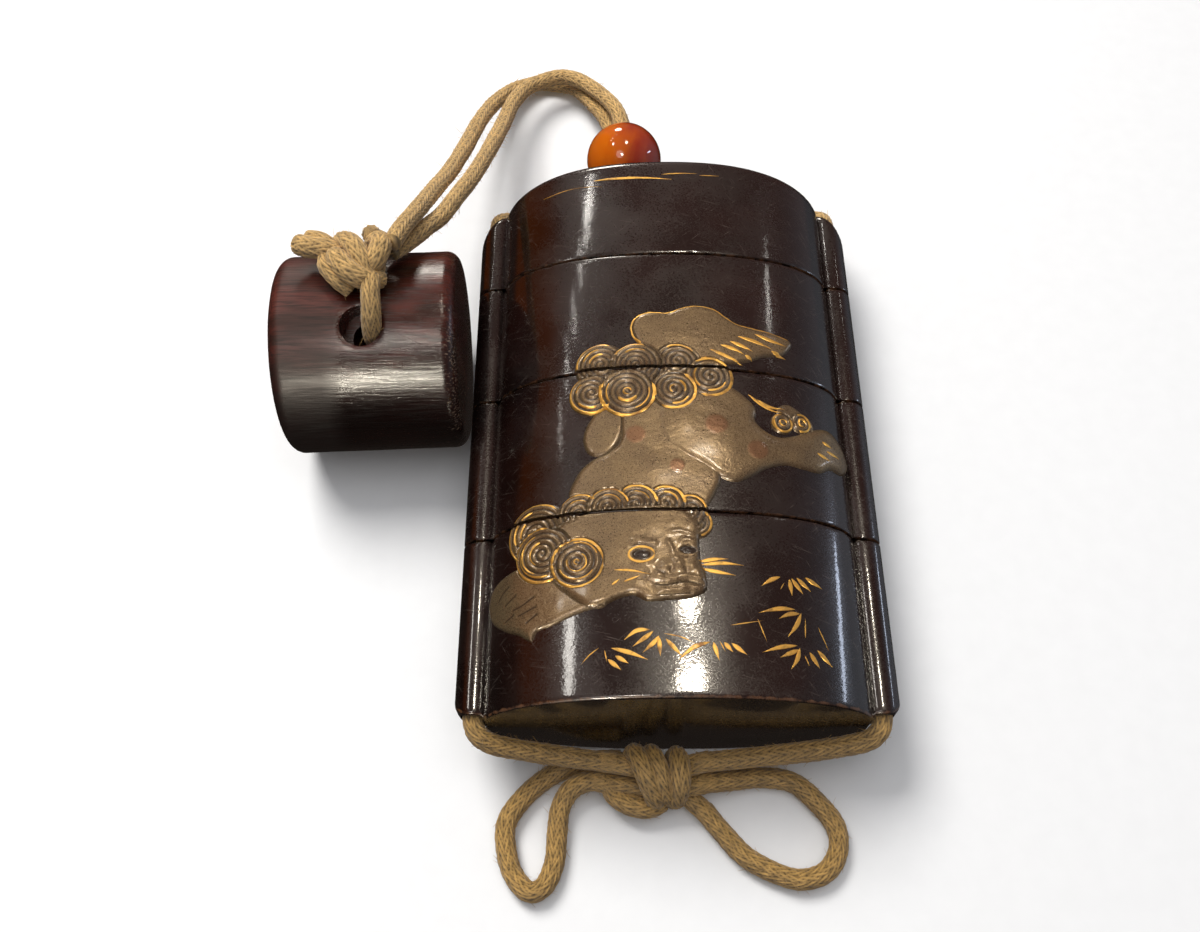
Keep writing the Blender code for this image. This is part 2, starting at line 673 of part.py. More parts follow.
def main():
    """Clear the scene and build every piece."""
    for old in list(bpy.data.objects):
        bpy.data.objects.remove(old, do_unlink=True)

    lacquer = material("lacquer", LACQUER)
    wood = material("netsuke_wood", NETSUKE_WOOD)
    agate = material("agate", AGATE)
    silk = material("silk_cord", SILK_CORD)

    pieces = [
        lid(lacquer),
        stacked_case("upper_case", MIDDLE_SEAM_Y, UPPER_SEAM_Y, lacquer),
        stacked_case("middle_case", LOWER_SEAM_Y, MIDDLE_SEAM_Y, lacquer),
        lower_case(lacquer),
    ]
    drill_channels(pieces)
    netsuke(wood)
    bead(agate)

    for name, from_knot, to_bow in (
        ("cord_left", LEFT_FROM_KNOT, LEFT_TO_BOW),
        ("cord_right", RIGHT_FROM_KNOT, RIGHT_TO_BOW),
    ):
        points = smooth_route(from_knot, CORD_SPACING) + smooth_route(to_bow, TIGHT_SPACING)
        cord(name, points, silk)
    cord("cord_netsuke", smooth_route(THROUGH_NETSUKE, TIGHT_SPACING), silk)
    cord("bow_loop_left", smooth_route(BOW_LOOP_LEFT, CORD_SPACING), silk)
    cord("bow_loop_right", smooth_route(BOW_LOOP_RIGHT, CORD_SPACING), silk)
    knot("knot_netsuke", NETSUKE_KNOT_LOBES, silk)
    knot("knot_bow", BOW_KNOT_LOBES, silk)


main()
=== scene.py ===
"""An inro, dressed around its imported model: a stacked lacquer case with a raised and gilded
picture, its braided silk cord, its agate bead and its wooden netsuke.

Lengths inside the functions are millimetres in the model's own frame: X across the case, Y along
it with the lid at +Y, Z up. The picture is laid out on the front as if it were rolled flat, with
s measured along the curve from the middle of the front, and y along the case.
"""

import bmesh
import bpy
import numpy as np
from mathutils import Matrix, Vector


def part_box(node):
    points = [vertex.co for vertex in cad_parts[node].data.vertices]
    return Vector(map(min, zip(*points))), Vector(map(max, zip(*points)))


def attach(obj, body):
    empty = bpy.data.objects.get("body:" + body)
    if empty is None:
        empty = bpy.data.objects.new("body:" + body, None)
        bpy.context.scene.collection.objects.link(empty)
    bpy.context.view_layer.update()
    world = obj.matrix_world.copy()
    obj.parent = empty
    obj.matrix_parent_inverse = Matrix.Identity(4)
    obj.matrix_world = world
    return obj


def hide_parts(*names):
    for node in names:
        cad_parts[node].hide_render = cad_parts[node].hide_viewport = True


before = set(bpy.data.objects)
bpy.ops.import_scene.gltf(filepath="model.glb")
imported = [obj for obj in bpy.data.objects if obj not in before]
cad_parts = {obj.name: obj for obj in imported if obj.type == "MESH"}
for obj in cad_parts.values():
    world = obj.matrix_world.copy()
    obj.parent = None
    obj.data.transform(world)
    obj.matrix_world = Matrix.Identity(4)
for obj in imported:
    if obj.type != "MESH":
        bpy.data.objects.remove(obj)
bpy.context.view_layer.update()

bl_info = {
    "name": "Inro case",
    "version": (1, 0, 0),
    "blender": (4, 5, 0),
    "location": "View3D > Sidebar > Inro",
    "description": "Dresses a stacked lacquer case with its picture, cord, bead and netsuke",
    "category": "Object",
}

MM = 0.001
BODY = "root"

# Fineness of the meshes and of the braid
BODY_COLUMNS = 64
RUNNER_COLUMNS = 12
WALL_ROWS = 24
EDGE_STEPS = 5
RELIEF_PITCH = 0.12
RELIEF_ROOT = 0.35
CORD_COLUMNS = 48
CORD_ROW = 0.15
BRAID_COLUMNS = 10
BRAID_PITCH = 1.4
BRAID_LEAN = 1.7
FIBRES_PER_MM = 2.2
FIBRE_SHADE = 0.8
CURVE_STEPS = 16
NETSUKE_COLUMNS = 180
BEAD_COLUMNS = 96
SHARP_ANGLE = np.radians(38)


# Small helpers


def colour(value):
    """Linear colour of an sRGB hex: c / 12.92 when dark, else ((c + 0.055) / 1.055) ** 2.4."""
    part = np.array([int(value[i : i + 2], 16) for i in (1, 3, 5)]) / 255
    linear = np.where(part <= 0.04045, part / 12.92, ((part + 0.055) / 1.055) ** 2.4)
    return (*linear.tolist(), 1.0)


def smoothstep(low, high, value):
    """0 below low, 1 above high, and 3t^2 - 2t^3 between."""
    t = np.clip((value - low) / (high - low), 0.0, 1.0)
    return t * t * (3 - 2 * t)


def wander(value, wavelengths, seed):
    """Smooth uneven line from -1 to 1: sines of the given wavelengths with seeded phases."""
    random = np.random.default_rng(seed)
    total = np.zeros_like(value)
    for length in wavelengths:
        total += np.sin(2 * np.pi * (value / length + random.random()))
    return total / len(wavelengths)


def arc_length(points):
    """Length travelled at each point of a line."""
    steps = np.linalg.norm(np.diff(points, axis=0), axis=1)
    return np.concatenate([[0.0], np.cumsum(steps)])


def unit(vectors):
    """Rows of vectors, each brought to length one."""
    return vectors / np.maximum(np.linalg.norm(vectors, axis=1), 1e-9)[:, None]


def smooth_path(points, step, closed=False):
    """Catmull-Rom curve through the points, at even steps of its length."""
    given = np.asarray(points, float)
    if closed:
        around = given[np.arange(-1, len(given) + 2) % len(given)]
    else:
        around = np.vstack([2 * given[0] - given[1], given, 2 * given[-1] - given[-2]])
    t = np.linspace(0, 1, CURVE_STEPS, endpoint=False)[None, :, None]
    a, b, c, d = (around[i : len(around) - 3 + i, None, :] for i in range(4))
    dense = 0.5 * (
        2 * b
        + (c - a) * t
        + (2 * a - 5 * b + 4 * c - d) * t**2
        + (3 * b - a - 3 * c + d) * t**3
    )
    dense = np.vstack([dense.reshape(-1, given.shape[1]), around[-2]])
    reach = arc_length(dense)
    wanted = np.linspace(0, reach[-1], max(2, round(reach[-1] / step)) + 1)
    return np.stack([np.interp(wanted, reach, axis) for axis in dense.T], axis=1)


def grid_faces(rows, columns, wrap=False, start=0):
    """Quads of a grid of vertices, row by row; wrap joins the last column to the first."""
    index = start + np.arange(rows * columns).reshape(rows, columns)
    if wrap:
        index = np.hstack([index, index[:, :1]])
    corners = (index[:-1, :-1], index[:-1, 1:], index[1:, 1:], index[1:, :-1])
    return np.stack(corners, axis=-1).reshape(-1, 4)


def end_faces(rows, columns, start=0):
    """The two faces that close a tube of vertices, row by row."""
    last = start + (rows - 1) * columns
    return [list(range(start, start + columns))[::-1], list(range(last, last + columns))]


def turned_about_z(points, degrees):
    """Points turned about the Z axis."""
    cos, sin = np.cos(np.radians(degrees)), np.sin(np.radians(degrees))
    return points @ np.array([[cos, sin, 0], [-sin, cos, 0], [0, 0, 1]])


def make_piece(name, points, faces, material, attributes=None, caps=(), weld=False):
    """A mesh object from points in millimetres, its faces, and values held at its points."""
    mesh = bpy.data.meshes.new(name)
    mesh.from_pydata((np.asarray(points) * MM).tolist(), [], [*faces.tolist(), *caps])
    for key, values in (attributes or {}).items():
        layer = mesh.attributes.new(key, "FLOAT", "POINT")
        layer.data.foreach_set("value", np.asarray(values, np.float32).ravel())
    if weld:
        shape = bmesh.new()
        shape.from_mesh(mesh)
        bmesh.ops.remove_doubles(shape, verts=shape.verts, dist=0.002 * MM)
        bmesh.ops.dissolve_degenerate(shape, edges=shape.edges, dist=0.001 * MM)
        bmesh.ops.recalc_face_normals(shape, faces=shape.faces)
        shape.to_mesh(mesh)
        shape.free()
    mesh.materials.append(material)
    mesh.shade_smooth()
    mesh.set_sharp_from_angle(angle=SHARP_ANGLE)
    made = bpy.data.objects.new(name, mesh)
    bpy.context.scene.collection.objects.link(made)
    return made


def carve(piece, tools):
    """Cut the tools out of a piece with Boolean modifiers, keep the result and drop the tools."""
    for tool in tools:
        cut = piece.modifiers.new("cut", "BOOLEAN")
        cut.operation = "DIFFERENCE"
        cut.solver = "EXACT"
        cut.object = tool
    bpy.context.view_layer.update()
    graph = bpy.context.evaluated_depsgraph_get()
    carved = bpy.data.meshes.new_from_object(piece.evaluated_get(graph))
    piece.modifiers.clear()
    piece.data = carved
    carved.shade_smooth()
    carved.set_sharp_from_angle(angle=SHARP_ANGLE)
    for tool in tools:
        bpy.data.objects.remove(tool)


def settle(piece, slot, *nodes):
    """Let a piece ride on the one body, and stand for its nodes. Its slot is not used."""
    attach(piece, BODY)
    if nodes:
        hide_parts(*nodes)
    return piece


# Materials


def give(node, values):
    """Give a node its values: each is a fixed input, the output of another node, or a property."""
    for key, value in values.items():
        if isinstance(value, bpy.types.NodeSocket):
            node.id_data.links.new(value, node.inputs[key])
        elif isinstance(key, int) or key in node.inputs:
            node.inputs[key].default_value = value
        else:
            setattr(node, key, value)


def add(tree, kind, values, out=0):
    """Add a node with its settings and links, and return one of its outputs."""
    made = tree.nodes.new("ShaderNode" + kind)
    give(made, values)
    return made.outputs[out]


def new_material(name):
    """A material, its node tree, its shader, and the place that its patterns follow."""
    material = bpy.data.materials.new(name)
    material.use_nodes = True
    tree = material.node_tree
    return material, tree, tree.nodes["Principled BSDF"], add(tree, "TexCoord", {}, "Object")


def per(size):
    """Scale of a pattern whose features are size millimetres across."""
    return 1.0 / (size * MM)


def urushi_lacquer(finish):
    """Urushi lacquer, many thin coats rubbed and polished: deep brown-black and glossy, with the
    slow waves of hand polishing, hair scratches, dust-fine pits and browner worn edges."""
    material, tree, shader, place = new_material("urushi_lacquer")
    cloud = add(tree, "TexNoise", {"Vector": place, "Scale": per(14), "Detail": 3.0})
    shade = add(tree, "MapRange", {0: cloud, 1: 0.42, 2: 0.62})
    tone = add(tree, "Mix", {"data_type": "RGBA", 0: shade, 6: finish.lacquer, 7: finish.lacquer_warm}, 2)
    wear = add(tree, "Attribute", {"attribute_name": "wear"}, "Fac")
    rub = add(tree, "TexNoise", {"Vector": place, "Scale": per(0.9), "Detail": 4.0})
    rubbed = add(tree, "Math", {"operation": "MULTIPLY", 0: wear, 1: rub})
    worn = add(tree, "MapRange", {0: rubbed, 1: 0.36, 2: 0.56})
    tone = add(tree, "Mix", {"data_type": "RGBA", 0: worn, 6: tone, 7: finish.lacquer_worn}, 2)
    for turn, length in ((0.5, 3.0), (-0.85, 2.2), (1.3, 4.0)):
        hair = {"Rotation": (0.0, 0.0, turn), "Scale": (0.12 * MM, length * MM, 60 * MM)}
        laid = add(tree, "Mapping", {"vector_type": "TEXTURE", "Vector": place, **hair})
        hairs = add(tree, "TexNoise", {"Vector": laid, "Scale": 1.0, "Detail": 1.0})
        line = add(tree, "MapRange", {0: hairs, 1: 0.69, 2: 0.8, 4: 0.34})
        tone = add(tree, "Mix", {"data_type": "RGBA", 0: line, 6: tone, 7: finish.lacquer_scratch}, 2)
    dust = add(tree, "TexNoise", {"Vector": place, "Scale": per(0.25), "Detail": 5.0})
    haze = add(tree, "TexNoise", {"Vector": place, "Scale": per(9), "Detail": 2.0})
    dull = add(tree, "Math", {"operation": "MULTIPLY", 0: dust, 1: haze})
    pits = add(tree, "Bump", {"Height": dust, "Strength": 0.35, "Distance": 0.03 * MM})
    fine = add(tree, "TexNoise", {"Vector": place, "Scale": per(0.4), "Detail": 3.0})
    grit = add(tree, "Bump", {"Height": fine, "Strength": 0.6, "Distance": 0.014 * MM})
    wave = add(tree, "TexNoise", {"Vector": place, "Scale": per(5), "Detail": 1.0})
    give(shader, {
        "Base Color": tone,
        "Roughness": add(tree, "MapRange", {0: dull, 1: 0.16, 2: 0.36, 3: 0.2, 4: 0.42}),
        "IOR": 1.48,
        "Normal": add(tree, "Bump", {"Height": wave, "Normal": pits, "Strength": 0.6, "Distance": 0.06 * MM}),
        "Coat Weight": 0.7,
        "Coat Roughness": 0.05,
        "Coat Normal": add(
            tree, "Bump", {"Height": wave, "Normal": grit, "Strength": 0.5, "Distance": 0.05 * MM}
        ),
    })
    return material


def bronze_lacquer(finish):
    """Raised lacquer dusted with bronze powder and rubbed: dull brown with a soft metal sheen, darker in the
    cut lines and with painted shade in its creases, grooves, sunk lines and along its edge, and redder in its
    few round spots."""
    material, tree, shader, place = new_material("bronze_lacquer")
    powder = add(tree, "TexNoise", {"Vector": place, "Scale": per(0.2), "Detail": 4.0})
    cloud = add(tree, "TexNoise", {"Vector": place, "Scale": per(3), "Detail": 4.0})
    blend = add(tree, "Math", {"operation": "ADD", 0: powder, 1: cloud})
    grain = add(tree, "MapRange", {0: blend, 1: 0.7, 2: 1.3})
    tone = add(tree, "Mix", {"data_type": "RGBA", 0: grain, 6: finish.bronze_dark, 7: finish.bronze}, 2)
    speck = add(tree, "TexNoise", {"Vector": place, "Scale": per(0.1), "Detail": 1.0})
    fleck = add(tree, "MapRange", {0: speck, 1: 0.4, 2: 0.85, 4: 0.55})
    blush = add(tree, "Attribute", {"attribute_name": "blush"}, "Fac")
    # Cut mask: real cut lines and eyes, and painted shade in creases, curl grooves, sunk face lines and along
    # the figure's edge
    cut = add(tree, "Attribute", {"attribute_name": "cut"}, "Fac")
    for share, tint in ((fleck, finish.bronze_fleck), (blush, finish.bronze_red), (cut, finish.bronze_cut_and_shade)):
        tone = add(tree, "Mix", {"data_type": "RGBA", 0: share, 6: tone, 7: tint}, 2)
    tooth = add(tree, "TexNoise", {"Vector": place, "Scale": per(0.7), "Detail": 3.0})
    coarse = add(tree, "Bump", {"Height": tooth, "Strength": 0.7, "Distance": 0.09 * MM})
    give(shader, {
        "Base Color": tone,
        "Metallic": add(tree, "MapRange", {0: cut, 3: 0.62, 4: 0.2}),
        "Roughness": add(tree, "MapRange", {0: powder, 1: 0.35, 2: 0.65, 3: 0.26, 4: 0.4}),
        "Normal": add(
            tree, "Bump", {"Height": powder, "Normal": coarse, "Strength": 0.5, "Distance": 0.035 * MM}
        ),
        "Coat Weight": 0.45,
        "Coat Roughness": 0.14,
    })
    return material


def gold_powder(finish):
    """Sprinkled gold powder, burnished: bright on its high parts, rubbed brown here and there."""
    material, tree, shader, place = new_material("gold_powder")
    wear = add(tree, "TexNoise", {"Vector": place, "Scale": per(1.6), "Detail": 5.0})
    rubbed = add(tree, "MapRange", {0: wear, 1: 0.52, 2: 0.68})
    powder = add(tree, "TexNoise", {"Vector": place, "Scale": per(0.15), "Detail": 3.0})
    tones = {"data_type": "RGBA", 0: rubbed, 6: finish.gold, 7: finish.gold_worn}
    give(shader, {
        "Base Color": add(tree, "Mix", tones, 2),
        "Metallic": add(tree, "MapRange", {0: rubbed, 3: 0.85, 4: 0.3}),
        "Roughness": add(tree, "MapRange", {0: powder, 3: 0.3, 4: 0.6}),
        "Normal": add(tree, "Bump", {"Height": powder, "Strength": 0.4, "Distance": 0.03 * MM}),
        "Coat Weight": 0.15,
    })
    return material


def polished_hardwood(finish):
    """Dense dark hardwood, turned, oiled and polished by handling: fine straight grain along the block,
    red-brown where it is rubbed, near black in the grain, with a few pale scuffs. It is duller on the left,
    and darker towards its lower side, which is painted shade."""
    material, tree, shader, place = new_material("polished_hardwood")
    streaks = []
    for along, across, noise in (
        (5, 0.3, {"Detail": 6.0, "Roughness": 0.62, "Distortion": 0.25}),
        (9, 3, {"Detail": 2.0}),
        (2.6, 0.24, {"Detail": 3.0}),
    ):
        laid = add(tree, "Mapping", {"Vector": place, "Scale": (per(along), per(across), per(across))})
        streaks.append(add(tree, "TexNoise", {"Vector": laid, "Scale": 1.0, **noise}))
    grain, broad, scuff = streaks
    side = add(tree, "SeparateXYZ", {0: place}).node.outputs
    wear = add(tree, "Attribute", {"attribute_name": "wear"}, "Fac")
    chance = add(tree, "Math", {"operation": "ADD", 0: scuff, 1: wear})
    tone = finish.wood
    for tint, share in (
        (finish.wood_red, {0: broad, 1: 0.36, 2: 0.64}),
        (finish.wood_grain_and_shade, {0: grain, 1: 0.45, 2: 0.68}),
        # Painted shade: darker towards the lower side, in the grain's colour
        (finish.wood_grain_and_shade, {0: side["Y"], 1: 7 * MM, 2: -1 * MM, 4: 0.85}),
        (finish.wood_scuff, {0: chance, 1: 0.82, 2: 0.94, 4: 0.8}),
    ):
        much = add(tree, "MapRange", share)
        tone = add(tree, "Mix", {"data_type": "RGBA", 0: much, 6: tone, 7: tint}, 2)
    rough = add(tree, "MapRange", {0: grain, 1: 0.3, 2: 0.7, 3: 0.15, 4: 0.36})
    dull = add(tree, "MapRange", {0: side["X"], 1: -44 * MM, 2: -47 * MM, 4: 0.24})
    give(shader, {
        "Base Color": tone,
        "Roughness": add(tree, "Math", {"operation": "ADD", 0: rough, 1: dull}),
        "Normal": add(tree, "Bump", {"Height": grain, "Strength": 0.7, "Distance": 0.06 * MM}),
        "Coat Weight": 0.1,
        "Coat Roughness": 0.25,
    })
    return material


def banded_agate(finish):
    """Carnelian agate, ground and polished: clear orange through deep red, in soft bands."""
    material, tree, shader, place = new_material("banded_agate")
    turned = {"Rotation": (0.3, 0.5, 0.4), "Scale": (per(4.5), per(12), per(12))}
    laid = add(tree, "Mapping", {"Vector": place, **turned})
    bands = add(tree, "TexNoise", {"Vector": laid, "Scale": 1.0, "Detail": 3.0, "Distortion": 0.8})
    side = add(tree, "SeparateXYZ", {0: place}, "X")
    centre = mid_of("bead")[0]
    left, right = (centre - 4.5) * MM, (centre + 4.5) * MM
    across = add(tree, "MapRange", {0: side, 1: left, 2: right, 3: -0.25, 4: 0.75})
    summed = add(tree, "Math", {"operation": "ADD", 0: bands, 1: across})
    share = add(tree, "MapRange", {0: summed, 1: 0.35, 2: 1.1})
    tones = {"data_type": "RGBA", 0: share, 6: finish.agate, 7: finish.agate_red}
    give(shader, {
        "Base Color": add(tree, "Mix", tones, 2),
        "Roughness": 0.05,
        "IOR": 1.54,
        "Subsurface Weight": 0.35,
        "Subsurface Scale": 2.0 * MM,
        "Subsurface Radius": (1.0, 0.25, 0.08),
        "Coat Weight": 0.3,
    })
    return material


def braided_silk(finish):
    """Silk braided over a core, gone tan with age: each strand shows its fine threads, with painted shade in
    the gaps between the strands, lighter on their crowns, and a soft sheen. It is paler above the lid and
    browner at the foot, which is painted light and shade along the cord."""
    material, tree, shader, place = new_material("braided_silk")
    thread_width, thread_length = 0.11, 1.1
    laid = add(tree, "UVMap", {"uv_map": "threads"})
    threads = add(tree, "Mapping", {"Vector": laid, "Scale": (1 / thread_width, 1 / thread_length, 1.0)})
    fibre = add(tree, "TexNoise", {"noise_dimensions": "2D", "Vector": threads, "Scale": 1.0, "Detail": 2.0})
    cloud = add(tree, "TexNoise", {"Vector": place, "Scale": per(1.3), "Detail": 3.0})
    height = add(tree, "Attribute", {"attribute_name": "strand"}, "Fac")
    side = add(tree, "SeparateXYZ", {0: place}, "Y")
    # Painted light and shade along the cord: paler above the lid, browner at the foot
    painted_light_along = add(tree, "MapRange", {0: side, 1: -44 * MM, 2: 34 * MM})
    body = add(tree, "Mix", {"data_type": "RGBA", 0: painted_light_along, 6: finish.silk_shaded, 7: finish.silk}, 2)
    mottle = add(tree, "MapRange", {0: cloud, 1: 0.3, 2: 0.7, 3: 0.72, 4: 1.2})
    thread = add(tree, "MapRange", {0: fibre, 1: 0.3, 2: 0.7, 3: 0.55, 4: 1.35})
    # Painted shade in the gaps between strands, and painted light on their crowns
    gap = add(tree, "MapRange", {0: height, 1: 0.1, 2: 0.8, 3: 0.12, 4: 1.25})
    both = add(tree, "Math", {"operation": "MULTIPLY", 0: mottle, 1: thread})
    light = add(tree, "Math", {"operation": "MULTIPLY", 0: both, 1: gap})
    lit = {"data_type": "RGBA", "blend_type": "MULTIPLY", 0: 1.0, 6: body, 7: light}
    give(shader, {
        "Base Color": add(tree, "Mix", lit, 2),
        "Roughness": 0.72,
        "Normal": add(tree, "Bump", {"Height": fibre, "Strength": 0.7, "Distance": 0.08 * MM}),
        "Sheen Weight": 0.25,
        "Sheen Roughness": 0.4,
    })
    return material


def pale_floor(finish):
    """Matt pale card, as smooth as a photographer's sweep."""
    material, tree, shader, place = new_material("pale_card")
    tooth = add(tree, "TexNoise", {"Vector": place, "Scale": per(3), "Detail": 2.0})
    tones = {"data_type": "RGBA", 0: tooth, 6: finish.floor, 7: finish.floor_light}
    give(shader, {
        "Base Color": add(tree, "Mix", tones, 2),
        "Roughness": 0.95,
        "Specular IOR Level": 0.1,
    })
    return material


# The case


# Sections of the insides, in from the outer lens at the sides and at front and back
RECESS = (2.2, 1.5)
RISER = (1.9, 1.2)
HOLLOW = (2.8, 2.1)
RISER_HEIGHT = 5.0
LID_ROOF = 2.2
CASE_FLOOR = 1.6
FOOT_FLOOR = 2.4
# The foot's step from body to runner, the runner's round corner, and wear across the rim
RUNNER_STEP = 0.7
RUNNER_CORNER = 2.2
FOOT_WEAR = np.array([0.55, 0.7, 0.9, 1.0, 1.0, 0.8, 0.35, 0.0])
BORE_CLEARANCE = 0.3
SEAM_NICK = 0.35


def mid_of(node):
    """Middle of a CAD node's box, in millimetres."""
    low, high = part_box(node)
    return (np.array(low) + np.array(high)) / 2 / MM


def lens_quarter(shape, count, side=0.0, front=0.0):
    """Points (x, z) of a quarter superellipse, in from the outer one by side and front."""
    power = 2 / shape.roundness
    turn = np.linspace(0, np.pi / 2, count)
    x = (shape.body_half_width / MM - side) * np.sin(turn) ** power
    z = (shape.body_half_depth / MM - front) * np.cos(turn) ** power
    return np.stack([x, z], axis=1)


def section_quarter(shape):
    """Front right quarter of the section as (x, z): the superellipse
    (x / a)^n + (z / b)^n = 1 as far as the crease, then the round of the cord runner."""
    runner_x = shape.runner_x / MM
    radius = shape.runner_radius / MM
    x, z = lens_quarter(shape, 6001).T
    runner = np.sqrt(np.clip(radius**2 - (x - runner_x) ** 2, 0, None))
    last = np.argmax((x > runner_x - radius) & (runner >= z))
    line = np.stack([x[: last + 1], z[: last + 1]], axis=1)
    reach = arc_length(line)
    wanted = np.linspace(0, reach[-1], BODY_COLUMNS + 1)
    body = np.stack([np.interp(wanted, reach, axis) for axis in line.T], axis=1)
    start = np.arctan2(line[-1, 1], line[-1, 0] - runner_x)
    turn = start * (1 - np.arange(1, RUNNER_COLUMNS + 1) / RUNNER_COLUMNS)
    round_side = np.stack([runner_x + radius * np.cos(turn), radius * np.sin(turn)], axis=1)
    return np.vstack([body, round_side])


def closed_ring(shape, quarter):
    """A whole section from its front right quarter, with the back cut flat."""
    back = quarter * (1, -1)
    back[:, 1] = np.maximum(back[:, 1], -back_depth(shape))
    left = (-1, 1)
    return np.vstack([quarter, back[-2::-1], back[1:] * left, quarter[-2:0:-1] * left])


def back_depth(shape):
    """How far the flat of the back lies behind the middle of the case."""
    share = shape.back_flat_half_width / shape.body_half_width
    return shape.body_half_depth / MM * (1 - share**shape.roundness) ** (1 / shape.roundness)


def lens_ring(shape, side, front):
    """Plain lens section, in from the outer lens by side and front."""
    return closed_ring(shape, lens_quarter(shape, BODY_COLUMNS + RUNNER_COLUMNS + 1, side, front))


def at_height(shape, ring, y):
    """Place a section along the case: y is one number or one for each point."""
    return np.stack([ring[:, 0], np.broadcast_to(y, len(ring)), ring[:, 1] + back_depth(shape)], axis=1)


def end_cap(ring, edge, steps, towards):
    """Close a section: columns from front to back at each x, whose rims turn through a quarter
    circle of the given edge radius. Returns rows of points."""
    count = len(ring)
    step = np.arange(-(count // 4), count // 4 + 1)
    front = ring[step % count]
    back = ring[(count // 2 - step) % count]
    reach = np.minimum(edge, (front[:, 2] - back[:, 2]) / 2)
    turn = np.linspace(0, np.pi / 2, steps + 1)
    halves = []
    for side, sign in ((front, -1), (back, 1)):
        over = np.stack([0 * turn, towards * np.sin(turn), sign * (1 - np.cos(turn))], axis=1)
        halves.append(side + reach[:, None] * over[:, None, :])
    return np.concatenate([halves[0], halves[1][::-1]])


def lid_crown(shape, x):
    """Fall of the lid's arched end at x: c (1 - (1 - |x / w|^3)^(1/3))."""
    share = np.clip(np.abs(x) / (shape.runner_x + shape.runner_radius) * MM, 0, 1)
    return shape.lid_crown / MM * (1 - (1 - share**3) ** (1 / 3))


def foot_rise(shape, x):
    """Rise of the foot at x: a small step to the runner, then the runner's round corner."""
    crease = section_quarter(shape)[BODY_COLUMNS, 0]
    step = RUNNER_STEP * smoothstep(-0.4, 0.4, np.abs(x) - crease)
    side = (shape.runner_x + shape.runner_radius) / MM
    beyond = np.clip(np.abs(x) - side + RUNNER_CORNER, 0, RUNNER_CORNER)
    return step + RUNNER_CORNER - np.sqrt(RUNNER_CORNER**2 - beyond**2)


def edge_room(ring, edge):
    """Rounding that the thickness at each point of a section allows."""
    count = len(ring)
    index = np.arange(count)
    opposite = ring[(count // 2 - index) % count]
    return np.minimum(edge, np.abs(ring[:, 1] - opposite[:, 1]) / 2)


def case_mesh(shape, name, low, high, material):
    """One piece of the stack as rings along Y: recess, worn seam edge, wall, seam edge, riser and
    hollow; the lid and the lowest case are closed by their own ends instead."""
    gap = shape.seam_gap / MM / 2
    edge = shape.seam_edge / MM
    full = closed_ring(shape, section_quarter(shape))
    place = full[:, 0] + 3 * np.sign(full[:, 1])
    is_lid = name == "lid"
    is_foot = name == "lower_case"
    recess = lens_ring(shape, *RECESS)
    rings, wear = [], []

    def put(ring, y, value=0.0):
        rings.append(at_height(shape, ring, y))
        wear.append(np.broadcast_to(value, len(ring)))

    def seam_edge(y, towards, seed):
        nicks = np.clip(wander(place, (3.1, 7.7, 1.9, 13.0), seed), 0, 1) ** 2 * SEAM_NICK
        room = edge + nicks
        order = (0.0, 0.35, 1.0) if towards > 0 else (1.0, 0.35, 0.0)
        for share in order:
            inset = room * (1 - np.sqrt(1 - (1 - share) ** 2))
            rim = full - outward(full) * inset[:, None]
            put(rim, y + towards * room * share, 1.0 - 0.6 * share)

    if is_foot:
        reach = edge_room(full, shape.foot_edge / MM)
        put(full, low + foot_rise(shape, full[:, 0]) + reach, 0.55)
        put(full, low + foot_rise(shape, full[:, 0]) + reach + 0.35, 0.0)
    else:
        roof = high - LID_ROOF if is_lid else low + gap + RISER_HEIGHT
        put(recess, roof - (lid_crown(shape, recess[:, 0]) if is_lid else 0.0))
        put(recess, low + gap)
        seam_edge(low + gap, 1, len(name))
    top = high - lid_crown(shape, full[:, 0]) if is_lid else np.full(len(full), high - gap - edge - 0.4)
    if is_lid:
        top = top - edge_room(full, shape.lid_shoulder / MM)
    start = rings[-1][:, 1] + 0.3
    for share in np.linspace(0, 1, WALL_ROWS):
        put(full, start + (top - start) * share)
    if not is_lid:
        seam_edge(high - gap, -1, len(name) + 7)
        floor = FOOT_FLOOR if is_foot else gap + RISER_HEIGHT + CASE_FLOOR
        put(lens_ring(shape, *RISER), high - gap)
        put(lens_ring(shape, *RISER), high - gap + RISER_HEIGHT)
        put(lens_ring(shape, *HOLLOW), high - gap + RISER_HEIGHT)
        put(lens_ring(shape, *HOLLOW), low + floor)

    caps = end_faces(len(rings), len(full))
    ends = []
    if is_lid:
        caps = []
        ends.append(end_cap(rings[-1], shape.lid_shoulder / MM, EDGE_STEPS + 2, 1))
        ends.append(end_cap(rings[0], 0.0, 1, 1))
    elif is_foot:
        caps = caps[1:]
        ends.append(end_cap(rings[0], shape.foot_edge / MM, EDGE_STEPS + 2, -1))
    faces = [grid_faces(len(rings), len(full), wrap=True)]
    total = len(rings) * len(full)
    for block in ends:
        rows, wide = block.shape[:2]
        level = np.zeros((rows, wide))
        if is_foot:
            level[: len(FOOT_WEAR)] = FOOT_WEAR[:, None]
            level[-len(FOOT_WEAR) :] = FOOT_WEAR[::-1, None]
        rings.append(block.reshape(-1, 3))
        wear.append(level.ravel())
        faces.append(grid_faces(rows, wide, start=total))
        total += rows * wide
    points, faces = np.concatenate(rings), np.concatenate(faces)
    worn = {"wear": np.concatenate(wear)}
    return make_piece(name + "_lacquer", points, faces, material, worn, caps, weld=True)


def outward(ring):
    """Unit normals of a closed section, from its neighbours on either side."""
    along = np.roll(ring, -1, axis=0) - np.roll(ring, 1, axis=0)
    normal = unit(np.stack([-along[:, 1], along[:, 0]], axis=1))
    flip = np.sign(np.sum(normal * ring, axis=1))
    return normal * flip[:, None]


